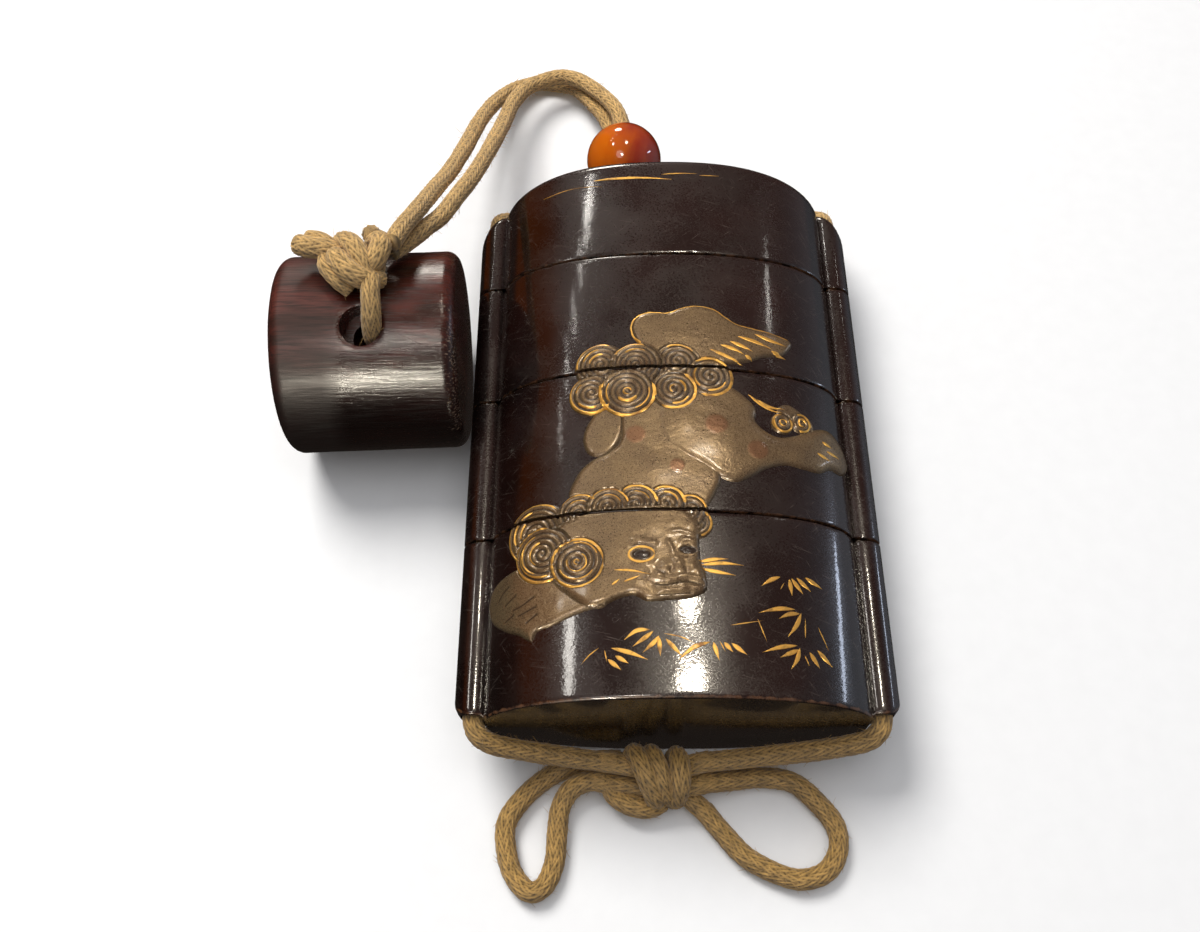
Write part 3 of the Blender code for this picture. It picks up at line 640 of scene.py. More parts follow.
def rod(name, start, end, radii, columns=28):
    """A closed round rod from start to end, whose radius follows the given list."""
    start, end = Vector(start), Vector(end)
    turn = (end - start).to_track_quat("Z", "Y").to_matrix()
    around = np.linspace(0, 2 * np.pi, columns, endpoint=False)
    disc = np.stack([np.cos(around), np.sin(around), 0 * around], axis=1)
    share = np.linspace(0, 1, len(radii))
    rings = np.asarray(radii)[:, None, None] * disc[None]
    rings[:, :, 2] = share[:, None] * (end - start).length
    points = rings.reshape(-1, 3) @ np.array(turn).T + np.array(start)
    faces = grid_faces(len(radii), columns, wrap=True)
    caps = end_faces(len(radii), columns)
    return make_piece(name, points, faces, bpy.data.materials["urushi_lacquer"], caps=caps)


# The picture


# Outlines of the raised forms, in (s, y).
# The lion is a plain stock figure: rump and hind leg, body, tail tuft, head and forepaw.
BODY_FORM = [
    (-6.2, -2.0), (-6.9, -7.2), (-8.6, -9.0), (-10.9, -10.1), (-12.8, -12.2), (-13.7, -15.4),
    (-11.0, -18.6), (-3.0, -19.0), (3.0, -18.0), (5.4, -14.8), (6.0, -12.4), (4.6, -8.5),
    (3.0, -4.0), (0.0, -1.0),
]
SHOULDER_FORM = [
    (-8.8, -1.8), (-11.0, -3.9), (-11.9, -6.6), (-11.1, -9.0), (-9.0, -9.4), (-7.2, -7.6),
    (-6.3, -4.6), (-6.8, -2.4),
]
HIND_LEG_FORM = [
    (-2.0, -2.6), (-1.6, -7.4), (1.0, -9.8), (3.4, -11.2), (5.7, -12.8), (8.0, -13.4),
    (10.2, -12.4), (12.4, -11.0), (15.0, -10.2), (17.6, -10.4), (20.0, -10.4), (22.0, -9.4),
    (24.4, -9.3), (26.2, -7.8), (25.6, -5.6), (23.9, -3.9), (22.0, -3.2), (19.8, -3.8),
    (17.0, -5.3), (14.3, -6.1), (12.4, -5.4), (11.1, -3.9), (11.3, -2.2), (10.2, -0.6),
    (8.2, 1.0), (4.6, 2.0), (0.6, 0.6),
]
TAIL_FORM = [
    (-3.2, 7.2), (-4.8, 9.1), (-5.2, 11.0), (-4.4, 12.6), (-2.6, 13.2), (-0.2, 13.1),
    (1.8, 13.9), (4.0, 14.3), (6.3, 13.8), (7.8, 12.6), (9.5, 11.5), (11.9, 11.0),
    (14.6, 10.6), (17.3, 9.8), (16.9, 8.4), (15.6, 7.2), (13.0, 6.5), (10.4, 5.3),
    (7.4, 4.8), (4.4, 4.6), (0.4, 5.4),
]
WISP_FORM = [
    (14.4, -1.6), (16.0, -0.7), (17.9, -1.6), (19.6, -2.9), (19.4, -4.2), (17.0, -4.6), (14.6, -3.4),
]
FOREPAW_FORM = [
    (-19.0, -23.8), (-22.8, -24.6), (-25.3, -26.0), (-26.0, -28.3), (-24.7, -30.6),
    (-22.3, -32.2), (-20.2, -33.1), (-18.4, -34.2), (-17.6, -33.0), (-15.6, -32.5),
    (-13.2, -31.6), (-11.0, -30.9), (-8.8, -30.4), (-8.0, -27.0), (-12.0, -23.5),
]
HEAD_FORM = [
    (-15.4, -19.4), (-12.0, -17.9), (-7.5, -17.3), (-2.5, -17.0), (0.9, -17.6), (2.9, -19.6),
    (2.8, -22.4), (2.9, -24.8), (3.5, -26.9), (3.4, -28.8), (1.6, -29.7), (-1.4, -30.0),
    (-3.8, -30.1), (-5.4, -29.3), (-7.2, -29.6), (-9.2, -30.4), (-11.6, -30.4), (-15.5, -27.0),
    (-17.0, -23.0),
]
# Curls are discs with a spiral cut in: centre, radius and way of turning
TAIL_CURLS = [
    (-9.4, 4.6, 3.7, 1), (0.9, 4.7, 3.2, -1), (-4.6, 4.4, 3.7, 1), (5.2, 2.4, 3.3, -1),
    (-10.7, 0.1, 3.2, 1), (0.3, 0.3, 3.2, -1), (-5.9, 0.1, 3.9, 1),
]
MANE_CURLS = [
    (2.6, -19.6, 2.1, -1), (1.8, -17.9, 2.4, -1), (-17.9, -19.8, 4.4, 1), (-1.2, -16.9, 2.7, -1),
    (-12.2, -17.8, 3.0, 1), (-4.9, -16.9, 2.9, 1), (-8.5, -17.2, 2.9, 1),
]
CHEEK_CURLS = [(-16.9, -23.0, 4.0, 1), (-12.4, -24.7, 3.5, 1)]
WISP_CURLS = [(17.7, -3.4, 1.55, -1), (14.9, -3.9, 1.6, 1)]
# Reddened spots: centre and radius
SPOTS = [(-4.9, -6.6, 1.5), (5.7, -5.2, 1.7), (11.0, -8.7, 1.6), (0.4, -11.4, 1.1)]
# Small raised or sunk lines of the face: points, half width and height
FACE_LINES = [
    ([(-4.3, -26.6), (-3.2, -27.3), (-1.2, -27.5), (0.9, -27.1), (2.8, -27.4)], 0.34, 0.15),
    ([(-3.6, -28.1), (-1.4, -28.2), (1.0, -27.8), (3.0, -28.2)], 0.15, -0.24),
    ([(-2.9, -29.0), (-0.8, -28.9), (1.4, -28.5), (3.1, -28.8)], 0.32, 0.14),
    ([(-3.4, -29.6), (-1.0, -29.5), (1.6, -29.3)], 0.13, -0.14),
    ([(-6.5, -22.9), (-5.0, -22.1), (-2.8, -22.6)], 0.42, 0.14),
    ([(-6.2, -23.4), (-4.6, -22.7), (-2.9, -23.2)], 0.14, -0.12),
    ([(-0.2, -22.8), (1.2, -22.1), (2.7, -22.5)], 0.36, 0.14),
    ([(-1.6, -21.5), (0.0, -20.9), (1.8, -21.3)], 0.3, 0.09),
    ([(0.2, -24.6), (1.3, -24.9), (2.5, -24.5)], 0.18, 0.12),
    ([(-4.4, -25.4), (-3.7, -26.2), (-4.0, -27.4)], 0.26, 0.1),
    ([(-3.1, -25.4), (-2.6, -26.2), (-1.6, -26.7)], 0.16, -0.14),
    ([(-6.2, -25.3), (-4.6, -25.6), (-3.0, -25.0)], 0.22, 0.09),
    ([(-0.7, -24.9), (-0.6, -23.6), (-1.1, -22.4)], 0.3, 0.1),
]
# Lumps and hollows of the face and the body: centre, radius and height
FACE_BUMPS = [
    (-1.6, -25.7, 0.6, 0.2), (0.1, -25.3, 0.75, 0.3), (1.8, -25.7, 0.6, 0.2),
    (0.1, -26.6, 1.9, 0.12), (-0.8, -26.3, 0.28, -0.18), (1.1, -26.3, 0.28, -0.18),
    (-2.4, -26.8, 0.5, 0.14), (2.5, -26.6, 0.45, 0.14), (-3.0, -24.6, 0.6, 0.1),
    (0.6, -28.6, 0.5, 0.1), (-2.2, -28.7, 0.5, 0.1), (-5.2, -27.9, 0.9, 0.08),
    (-3.2, -20.2, 1.0, 0.06), (-0.6, -19.9, 0.9, 0.07), (1.6, -20.3, 0.8, 0.08),
    (-5.6, -21.0, 1.2, 0.05), (-7.6, -24.6, 1.6, 0.06), (-10.6, -28.8, 1.8, 0.1),
    (-15.0, -29.9, 1.6, 0.1), (-20.5, -27.6, 2.2, 0.1), (-2.6, -12.0, 2.0, 0.1),
    (-7.0, -13.0, 2.4, 0.08), (6.5, -7.0, 3.0, 0.12), (1.5, -5.0, 1.8, 0.08),
]
# Lines cut in the paw, and the eyes as centre and half sizes
PAW_LINES = [
    [(-23.4, -28.0), (-22.6, -27.0), (-21.7, -26.4)], [(-22.2, -28.9), (-20.6, -27.9)],
    [(-21.0, -29.8), (-19.6, -29.4), (-18.0, -28.5)], [(-20.2, -30.7), (-17.8, -29.9)],
    [(-19.0, -31.8), (-17.6, -30.9)], [(-22.2, -31.1), (-20.9, -30.4)],
]
EYES = [(-4.4, -24.1, 1.2, 0.72), (1.4, -23.5, 1.15, 0.6)]

# Gold on the curls: centre, radius, both ends in degrees, and width. The powder lies a little
# inside each line, and a little wider
CURL_ARCS = [
    (-9.4, 4.6, 3.6, 70, 192, 0.34), (-9.4, 4.6, 2.7, 95, 165, 0.18),
    (-4.6, 4.4, 3.6, 75, 150, 0.32), (-10.7, 0.1, 3.1, 120, 325, 0.36),
    (-10.7, 0.1, 2.3, 130, 175, 0.2), (-5.9, 0.1, 3.8, 150, 385, 0.42),
    (-5.9, 0.1, 3.0, 150, 215, 0.18), (-5.9, 0.1, 1.7, 215, 325, 0.34),
    (-5.9, 0.1, 0.7, 0, 300, 0.16), (0.3, 0.3, 3.1, 235, 420, 0.36),
    (0.3, 0.3, 1.7, -20, 60, 0.28), (0.3, 0.3, 0.7, 60, 250, 0.16),
    (5.2, 2.4, 3.2, -115, 130, 0.42), (5.2, 2.4, 2.3, 130, 230, 0.16),
    (-17.9, -19.8, 4.3, 50, 235, 0.3), (-17.9, -19.8, 3.3, 100, 200, 0.16),
    (-12.2, -17.8, 2.9, 45, 150, 0.26), (-8.5, -17.2, 2.8, 15, 150, 0.24),
    (-8.5, -17.2, 1.9, 20, 110, 0.14), (-4.9, -16.9, 2.8, 5, 130, 0.36),
    (-4.9, -16.9, 1.9, 20, 100, 0.16), (-1.2, -16.9, 2.6, 0, 125, 0.34),
    (1.8, -17.9, 2.3, -10, 120, 0.26), (2.6, -19.6, 2.0, -75, 60, 0.26),
    (-16.9, -23.0, 3.9, 80, 300, 0.32), (-16.9, -23.0, 2.9, 110, 250, 0.16),
    (-16.9, -23.0, 1.8, 100, 240, 0.14), (-12.4, -24.7, 3.4, 0, 360, 0.3),
    (-12.4, -24.7, 2.5, 200, 330, 0.16), (-12.4, -24.7, 1.4, 160, 420, 0.14),
    (-12.4, -24.7, 0.5, 0, 300, 0.14),
    (14.9, -3.9, 1.5, 90, 400, 0.26), (14.9, -3.9, 0.7, 0, 300, 0.14),
    (17.7, -3.4, 1.45, -110, 120, 0.26), (17.7, -3.4, 0.7, 0, 300, 0.14),
    (-9.4, 4.6, 1.8, 80, 170, 0.14), (-4.6, 4.4, 2.6, 60, 130, 0.14), (0.9, 4.7, 3.0, 40, 120, 0.2),
    (-10.7, 0.1, 2.4, 215, 290, 0.2), (-5.9, 0.1, 3.1, 290, 372, 0.2), (0.3, 0.3, 2.4, 262, 330, 0.22),
    (5.2, 2.4, 2.4, -100, -20, 0.2), (-17.9, -19.8, 2.4, 90, 190, 0.14),
    (-1.2, -16.9, 1.7, 10, 100, 0.14), (-12.2, -17.8, 2.0, 60, 130, 0.12),
    (-16.9, -23.0, 3.3, 170, 285, 0.14), (-12.4, -24.7, 2.9, 20, 100, 0.12),
]
ARC_INSET = 0.18
ARC_SPREAD = 0.07
# Gold lines: points in (s, y)
TAIL_EDGE = TAIL_FORM[:14]
TUFT_HAIRS = [
    [(6.9, 7.7), (8.6, 7.2), (10.1, 6.4)], [(8.2, 8.4), (9.8, 7.8), (11.4, 7.0)],
    [(9.4, 9.3), (11.8, 8.7), (14.2, 7.8)], [(11.8, 10.0), (14.6, 9.1), (16.4, 8.7)],
    [(5.4, 6.9), (7.4, 6.0), (9.9, 4.8)], [(14.0, 7.5), (16.3, 6.8)], [(10.2, 6.3), (11.3, 5.6)],
]
WISP_HAIRS = [
    [(10.4, 0.2), (11.8, -1.0), (13.4, -1.9), (15.0, -2.3)],
    [(11.6, -0.5), (13.2, -1.4), (15.4, -1.7)],
]
TOE_HAIRS = [
    [(19.5, -7.7), (21.7, -8.4)], [(20.5, -5.7), (22.1, -6.3)], [(21.1, -7.0), (23.4, -7.4)],
]
WHISKERS = [
    [(2.6, -24.9), (4.6, -24.5), (6.4, -24.4)], [(2.9, -25.3), (5.6, -25.0), (8.3, -25.2)],
    [(2.9, -25.8), (5.0, -26.2), (7.2, -26.6)], [(-7.8, -26.1), (-5.5, -26.3), (-3.4, -26.9)],
    [(-6.6, -27.7), (-4.6, -27.0)], [(-8.1, -28.1), (-7.1, -27.3)],
]
BAMBOO_LEAVES = [
    [(12.9, -26.4), (11.7, -26.9), (10.4, -27.8)], [(14.1, -26.6), (14.3, -28.8)],
    [(14.4, -26.5), (15.8, -28.4)], [(15.1, -26.3), (16.9, -27.9)], [(16.3, -26.1), (18.6, -27.3)],
    [(14.5, -30.6), (12.4, -30.7), (9.8, -31.4)], [(15.1, -31.1), (13.7, -31.3), (12.3, -32.0)],
    [(15.3, -31.0), (14.6, -32.6), (13.3, -34.3)],
    [(14.4, -35.3), (12.2, -35.7), (9.9, -36.5)], [(14.6, -35.8), (12.1, -37.0)],
    [(14.7, -35.6), (14.3, -37.0), (13.4, -38.4)], [(16.0, -36.0), (17.2, -37.9)],
    [(17.1, -35.6), (19.0, -37.5)],
    [(-3.6, -33.8), (-5.2, -33.9), (-6.7, -35.0)], [(-3.2, -34.0), (-4.3, -34.9), (-5.7, -35.9)],
    [(-2.5, -34.6), (-3.2, -35.5), (-4.5, -36.7)], [(-2.5, -34.8), (-2.4, -37.2)],
    [(-1.7, -35.0), (0.2, -37.2)],
    [(3.6, -35.4), (1.6, -36.1), (-0.3, -37.7)], [(4.0, -35.4), (4.6, -37.7)],
    [(5.3, -35.4), (6.3, -36.6)], [(6.2, -35.5), (8.0, -36.9)],
    [(-8.3, -36.0), (-6.2, -36.6), (-3.9, -37.6)], [(-8.7, -37.4), (-7.1, -38.8)],
    [(-7.8, -37.0), (-6.2, -38.0)],
]
GRASS_STEMS = [
    [(12.8, -28.1), (13.4, -27.1)], [(15.3, -36.5), (15.8, -37.7)], [(4.8, -35.3), (5.4, -36.6)],
    [(-9.8, -35.9), (-11.0, -36.8), (-12.0, -37.9)], [(-9.1, -36.2), (-8.8, -37.8)],
    [(-1.9, -34.3), (0.2, -34.8), (2.0, -35.7)], [(17.5, -32.6), (18.7, -35.4)],
    [(9.6, -32.2), (10.6, -35.2)], [(6.2, -33.2), (10.4, -32.4)], [(15.6, -34.2), (15.8, -31.6)],
]
# Gold at the end of the lid, each line with its width
LID_GLINTS = [
    ([(-10.6, 38.4), (-6.0, 38.4), (-2.0, 38.2), (1.1, 37.9)], 0.42),
    ([(-0.4, 38.9), (2.4, 39.1), (5.0, 39.1)], 0.16), ([(5.3, 38.8), (8.3, 38.9)], 0.14),
    ([(-18.6, 36.8), (-14.5, 37.4), (-10.9, 37.3), (-9.4, 37.0)], 0.1),
]


def spread_line(shape):
    """Lookup of the rolled-out front: s, x and z from the middle to the crease."""
    line = section_quarter(shape)[: BODY_COLUMNS + 1]
    return arc_length(line), line


def on_front(shape, s, y, lift):
    """Points of the front at (s, y), raised by lift along its normal."""
    reach, line = spread_line(shape)
    slope = np.gradient(line, reach, axis=0)
    away = np.abs(s)
    x, z = (np.interp(away, reach, axis) for axis in line.T)
    tx, tz = (np.interp(away, reach, axis) for axis in slope.T)
    length = np.hypot(tx, tz)
    side = np.where(s < 0, -1.0, 1.0)
    normal_x, normal_z = -tz / length * side, tx / length
    return np.stack([x * side + normal_x * lift, y, z + back_depth(shape) + normal_z * lift], axis=-1)


def line_distance(s, y, line):
    """Distance from each point to a line of short straight pieces."""
    best = np.full(s.shape, 1e9)
    for a, b in zip(line, line[1:]):
        along = b - a
        share = ((s - a[0]) * along[0] + (y - a[1]) * along[1]) / max(along @ along, 1e-12)
        share = np.clip(share, 0, 1)
        distance = np.hypot(s - a[0] - share * along[0], y - a[1] - share * along[1])
        best = np.minimum(best, distance)
    return best


def inside_depth(s, y, outline):
    """How far inside a closed outline each point lies; negative outside. A point is inside when
    a level ray from it crosses the outline an odd number of times."""
    line = smooth_path(outline, 0.35, closed=True)
    depth = np.full(s.shape, -3.0)
    near = (
        (s > line[:, 0].min() - 1)
        & (s < line[:, 0].max() + 1)
        & (y > line[:, 1].min() - 1)
        & (y < line[:, 1].max() + 1)
    )
    if not near.any():
        return depth
    ps, py = s[near], y[near]
    crossed = np.zeros(ps.shape, bool)
    for a, b in zip(line, line[1:]):
        spans = (a[1] > py) != (b[1] > py)
        if spans.any():
            cut = a[0] + (py - a[1]) / (b[1] - a[1] + 1e-12) * (b[0] - a[0])
            crossed ^= spans & (ps < cut)
    depth[near] = np.where(crossed, 1, -1) * line_distance(ps, py, line)
    return depth


def pillow(depth, edge):
    """Round shoulder: a quarter ellipse over the edge width, then level."""
    share = np.clip(depth / edge, 0, 1)
    return np.sqrt(1 - (1 - share) ** 2)


def picture(s, y):
    """Relief at the points of the rolled-out front: its height, how far inside the figure they are, how much
    is darkened, by cut lines and by painted shade in creases and grooves, and how much is reddened. Each form
    covers what lies below it, with a fine step at its border: h = max(own, under - step)."""
    height = np.zeros(s.shape)
    inside = np.full(s.shape, -3.0)
    cut = np.zeros(s.shape)
    blush = np.zeros(s.shape)
    step = 0.14

    def cover(depth, own):
        nonlocal height, inside, cut
        here = depth > 0
        # Painted shade: a dark band in the crease where a form steps onto one below it
        rim = np.clip(1 - np.abs(depth - 0.08) / 0.16, 0, 1)
        covered = np.where(inside > 0.1, rim, 0.0)
        cut = np.where(here, covered * 0.6, np.maximum(cut, covered * 0.35))
        height = np.where(here, np.maximum(own, height - step), height)
        inside = np.maximum(inside, depth)

    def form(outline, top, edge, crown=0.0, merged=False):
        nonlocal height, inside
        depth = inside_depth(s, y, outline)
        own = top * pillow(depth, edge) + crown * np.clip(depth, 0, 4)
        if not merged:
            cover(depth, own)
            return
        height = np.where(depth > 0, np.maximum(own, height), height)
        inside = np.maximum(inside, depth)

    def curl(centre_s, centre_y, radius, way, top):
        nonlocal height, cut
        ds, dy = s - centre_s, y - centre_y
        distance = np.hypot(ds, dy)
        cover(radius - distance, top * pillow(radius - distance, radius * 0.55))
        here = distance < radius
        rings = max(2.0, round(radius / 0.8))
        phase = distance / radius * rings - way * np.arctan2(dy, ds) / (2 * np.pi)
        wave = np.cos(2 * np.pi * phase)
        fade = smoothstep(0.0, 0.25, radius - distance)
        height = np.where(here, height + 0.1 * wave * fade, height)
        # Painted shade in the spiral's grooves
        cut = np.where(here, np.maximum(cut, 0.95 * smoothstep(-0.2, -0.9, wave) * fade), cut)

    form(SHOULDER_FORM, 0.36, 0.8)
    form(BODY_FORM, 0.45, 0.9, 0.015)
    form(HIND_LEG_FORM, 0.58, 1.3, 0.03, merged=True)
    form(TAIL_FORM, 0.42, 0.7, 0.02)
    form(WISP_FORM, 0.25, 0.5)
    for curls, top in ((WISP_CURLS, 0.45), (TAIL_CURLS, 0.66), (MANE_CURLS, 0.64)):
        for one in curls:
            curl(*one, top)
    form(FOREPAW_FORM, 0.46, 0.9, 0.02)
    form(HEAD_FORM, 0.66, 0.9, 0.03)
    for one in CHEEK_CURLS:
        curl(*one, 0.92)

    figure = inside > 0.15
    line_step = 0.4
    # Painted shade along the figure's outer edge
    cut = np.maximum(cut, 0.4 * smoothstep(0.6, 0.05, inside))
    for spot_s, spot_y, radius in SPOTS:
        distance = np.hypot(s - spot_s, y - spot_y)
        blush = np.maximum(blush, 0.75 * smoothstep(radius, radius * 0.7, distance))
        height = height + 0.04 * smoothstep(radius, radius * 0.6, distance) * figure
    for line, half, amount in FACE_LINES:
        distance = line_distance(s, y, smooth_path(line, line_step))
        start = np.hypot(s - line[0][0], y - line[0][1])
        mark = np.exp(-((distance / half) ** 2)) * smoothstep(0.1, 1.4, start) * figure
        height = height + amount * mark
        # Painted shade in the sunk lines of the face
        if amount < 0:
            cut = np.maximum(cut, 0.55 * mark)
    for bump_s, bump_y, radius, amount in FACE_BUMPS:
        distance = np.hypot(s - bump_s, y - bump_y) / radius
        height = height + amount * np.exp(-(distance**2)) * figure
    for line in PAW_LINES:
        distance = line_distance(s, y, smooth_path(line, line_step))
        mark = np.exp(-((distance / 0.13) ** 2)) * figure
        height = height - 0.1 * mark
        cut = np.maximum(cut, mark)
    for eye_s, eye_y, half_s, half_y in EYES:
        distance = np.hypot((s - eye_s) / half_s, (y - eye_y) / half_y)
        height = height - 0.22 * smoothstep(1.05, 0.8, distance) + 0.1 * smoothstep(0.8, 0.0, distance)
        cut = np.maximum(cut, smoothstep(1.02, 0.85, distance))
    uneven = 0.03 * wander(s + 0.4 * y, (7.3, 11.9), 5) * wander(y - 0.3 * s, (5.1, 9.7), 6)
    height = np.maximum(height + uneven * figure, 0.02)
    return np.where(inside > 0, height, inside), inside, cut, blush


def relief_patch(shape, name, low, high, material):
    """Raised picture on one piece of the stack: a grid over the rolled-out front, kept where it
    lies in the figure, with a flat underside in the lacquer and walls between the two."""
    limit = spread_line(shape)[0][-1] - 0.3
    margin = shape.seam_gap / MM / 2 + shape.seam_edge / MM * 0.6
    columns = np.arange(-limit, limit, RELIEF_PITCH)
    rows = np.linspace(low + margin, high - margin, round((high - low - 2 * margin) / RELIEF_PITCH))
    s, y = np.meshgrid(columns, rows)
    height, inside, cut, blush = picture(s, y)
    quads = grid_faces(len(rows), len(columns))
    kept = quads[(inside.ravel()[quads] > -0.1).any(axis=1)]
    if not len(kept):
        return None
    used, compact = np.unique(kept, return_inverse=True)
    top_faces = compact.reshape(-1, 4)
    count = len(used)
    s, y, height = s.ravel()[used], y.ravel()[used], height.ravel()[used]
    top = on_front(shape, s, y, height)
    under = on_front(shape, s, y, np.full(count, -RELIEF_ROOT))
    ends = np.stack([top_faces, np.roll(top_faces, -1, axis=1)], axis=-1).reshape(-1, 2)
    forward = ends[:, 0] * count + ends[:, 1]
    backward = ends[:, 1] * count + ends[:, 0]
    open_ends = ends[~np.isin(forward, backward)]
    walls = np.stack(
        [open_ends[:, 1], open_ends[:, 0], open_ends[:, 0] + count, open_ends[:, 1] + count], axis=1
    )
    faces = np.concatenate([top_faces, top_faces[:, ::-1] + count, walls])
    values = {
        # cut holds the cut lines and the painted shade of creases, grooves and edges
        "cut": np.tile(cut.ravel()[used], 2),
        "blush": np.tile(blush.ravel()[used], 2),
    }
    return make_piece(name + "_relief", np.concatenate([top, under]), faces, material, values)


def turning(centre_s, centre_y, radius, first, last):
    """Arc round a point, from one angle to another in degrees."""
    count = max(4, int(abs(last - first) / 12))
    turn = np.radians(np.linspace(first, last, count))
    return np.stack([centre_s + radius * np.cos(turn), centre_y + radius * np.sin(turn)], axis=1)


def gold_lines():
    """Every gold line as its points, width and kind of taper: brush lines keep their width, and
    leaves and hairs swell in the middle and end in a point."""
    lines = [(TAIL_EDGE, 0.42, "brush")]
    for group, width in (
        (TUFT_HAIRS, 0.58),
        (WISP_HAIRS + TOE_HAIRS, 0.46),
        (WHISKERS[:3], 0.56),
        (WHISKERS[3:], 0.3),
        (BAMBOO_LEAVES, 0.62),
        (GRASS_STEMS, 0.16),
    ):
        lines += [(line, width, "leaf") for line in group]
    lines += [(line, width, "leaf") for line, width in LID_GLINTS]
    lines += [
        (turning(s, y, radius - ARC_INSET, first, last), width + ARC_SPREAD, "brush")
        for s, y, radius, first, last, width in CURL_ARCS
    ]
    eye_s, eye_y, half_s, half_y = EYES[0]
    turn = np.radians(np.arange(0, 361, 15))
    ring = np.stack([eye_s + 1.32 * half_s * np.cos(turn), eye_y + 1.45 * half_y * np.sin(turn)], axis=1)
    lines.append((ring, 0.3, "brush"))
    return lines


def gilding(shape, stack, material):
    """Gold lines as thin raised ribbons: a low round section carried along each line over the
    relief, cut at the seams. Returns one piece for each part of the stack that has any."""
    across = np.array([-1.0, -0.75, 0.0, 0.75, 1.0, 1.0, -1.0])
    raised = np.array([-0.04, 0.06, 0.09, 0.06, -0.04, -0.16, -0.16])
    ribbon_step, fewest_rows = 0.22, 3
    made = {name: ([], [], []) for name, *_ in stack}
    margin = shape.seam_gap / MM / 2 + 0.12
    for line, width, kind in gold_lines():
        path = smooth_path(line, ribbon_step)
        along = unit(np.gradient(path, axis=0))
        aside = np.stack([-along[:, 1], along[:, 0]], axis=1)
        share = np.linspace(0, 1, len(path))
        if kind == "leaf":
            swell = np.sin(np.pi * share**0.75) ** 1.25 + 0.05
        else:
            swell = smoothstep(0, 0.05, share) * smoothstep(1, 0.95, share) + 0.08
            swell *= 1 + 0.22 * wander(share * len(path) * ribbon_step, (1.3, 2.9, 5.1), len(path))
        half = width / 2 * swell
        spread = path[:, None, :] + aside[:, None, :] * (half[:, None] * across)[:, :, None]
        ground = np.clip(picture(spread[..., 0], spread[..., 1])[0], 0, None)
        ground = np.minimum(ground, ground[:, 2:3] + 0.05)
        lift = ground + raised * np.clip(half[:, None] / 0.12, 0.35, 1)
        ribbon = on_front(shape, spread[..., 0], spread[..., 1], lift)
        for name, low, high in stack:
            here = (path[:, 1] > low + margin) & (path[:, 1] < high - margin)
            edges = np.flatnonzero(np.diff(np.concatenate([[0], here.astype(int), [0]])))
            for first, last in zip(edges[::2], edges[1::2]):
                rows = last - first
                if rows < fewest_rows:
                    continue
                points, faces, caps = made[name]
                start = sum(map(len, points))
                points.append(ribbon[first:last].reshape(-1, 3))
                faces.append(grid_faces(rows, len(across), wrap=True, start=start))
                caps.extend(end_faces(rows, len(across), start))
    return [
        make_piece(name + "_gilding", np.concatenate(points), np.concatenate(faces), material, caps=caps)
        for name, (points, faces, caps) in made.items()
        if points
    ]


# Netsuke and bead, in millimetres and degrees

NETSUKE_GAP = 0.9
NETSUKE_Y = 12.0
NETSUKE_FLAT_HALF = 2.4
NETSUKE_YAW = 2.3
NETSUKE_EDGE = 1.8
NETSUKE_DOME = 0.4
# Each cord hole: its angle from the top, its shift along the block, and its radius
HOLES = [(-19.3, 0.3, 2.9), (38.0, 0.7, 2.1)]
MOUTH_TAPER = 0.05
TUNNEL_RADIUS = 2.1
BEAD_LEAN = 99.0


def turned(profile, columns):
    """Rings of a body turned about X: each (along, radius) of the profile goes round once."""
    around = np.linspace(0, 2 * np.pi, columns, endpoint=False)
    along, radius = profile[:, 0, None], profile[:, 1, None]
    return np.stack(
        [np.broadcast_to(along, (len(profile), columns)), radius * np.sin(around), radius * np.cos(around)],
        axis=-1,
    )


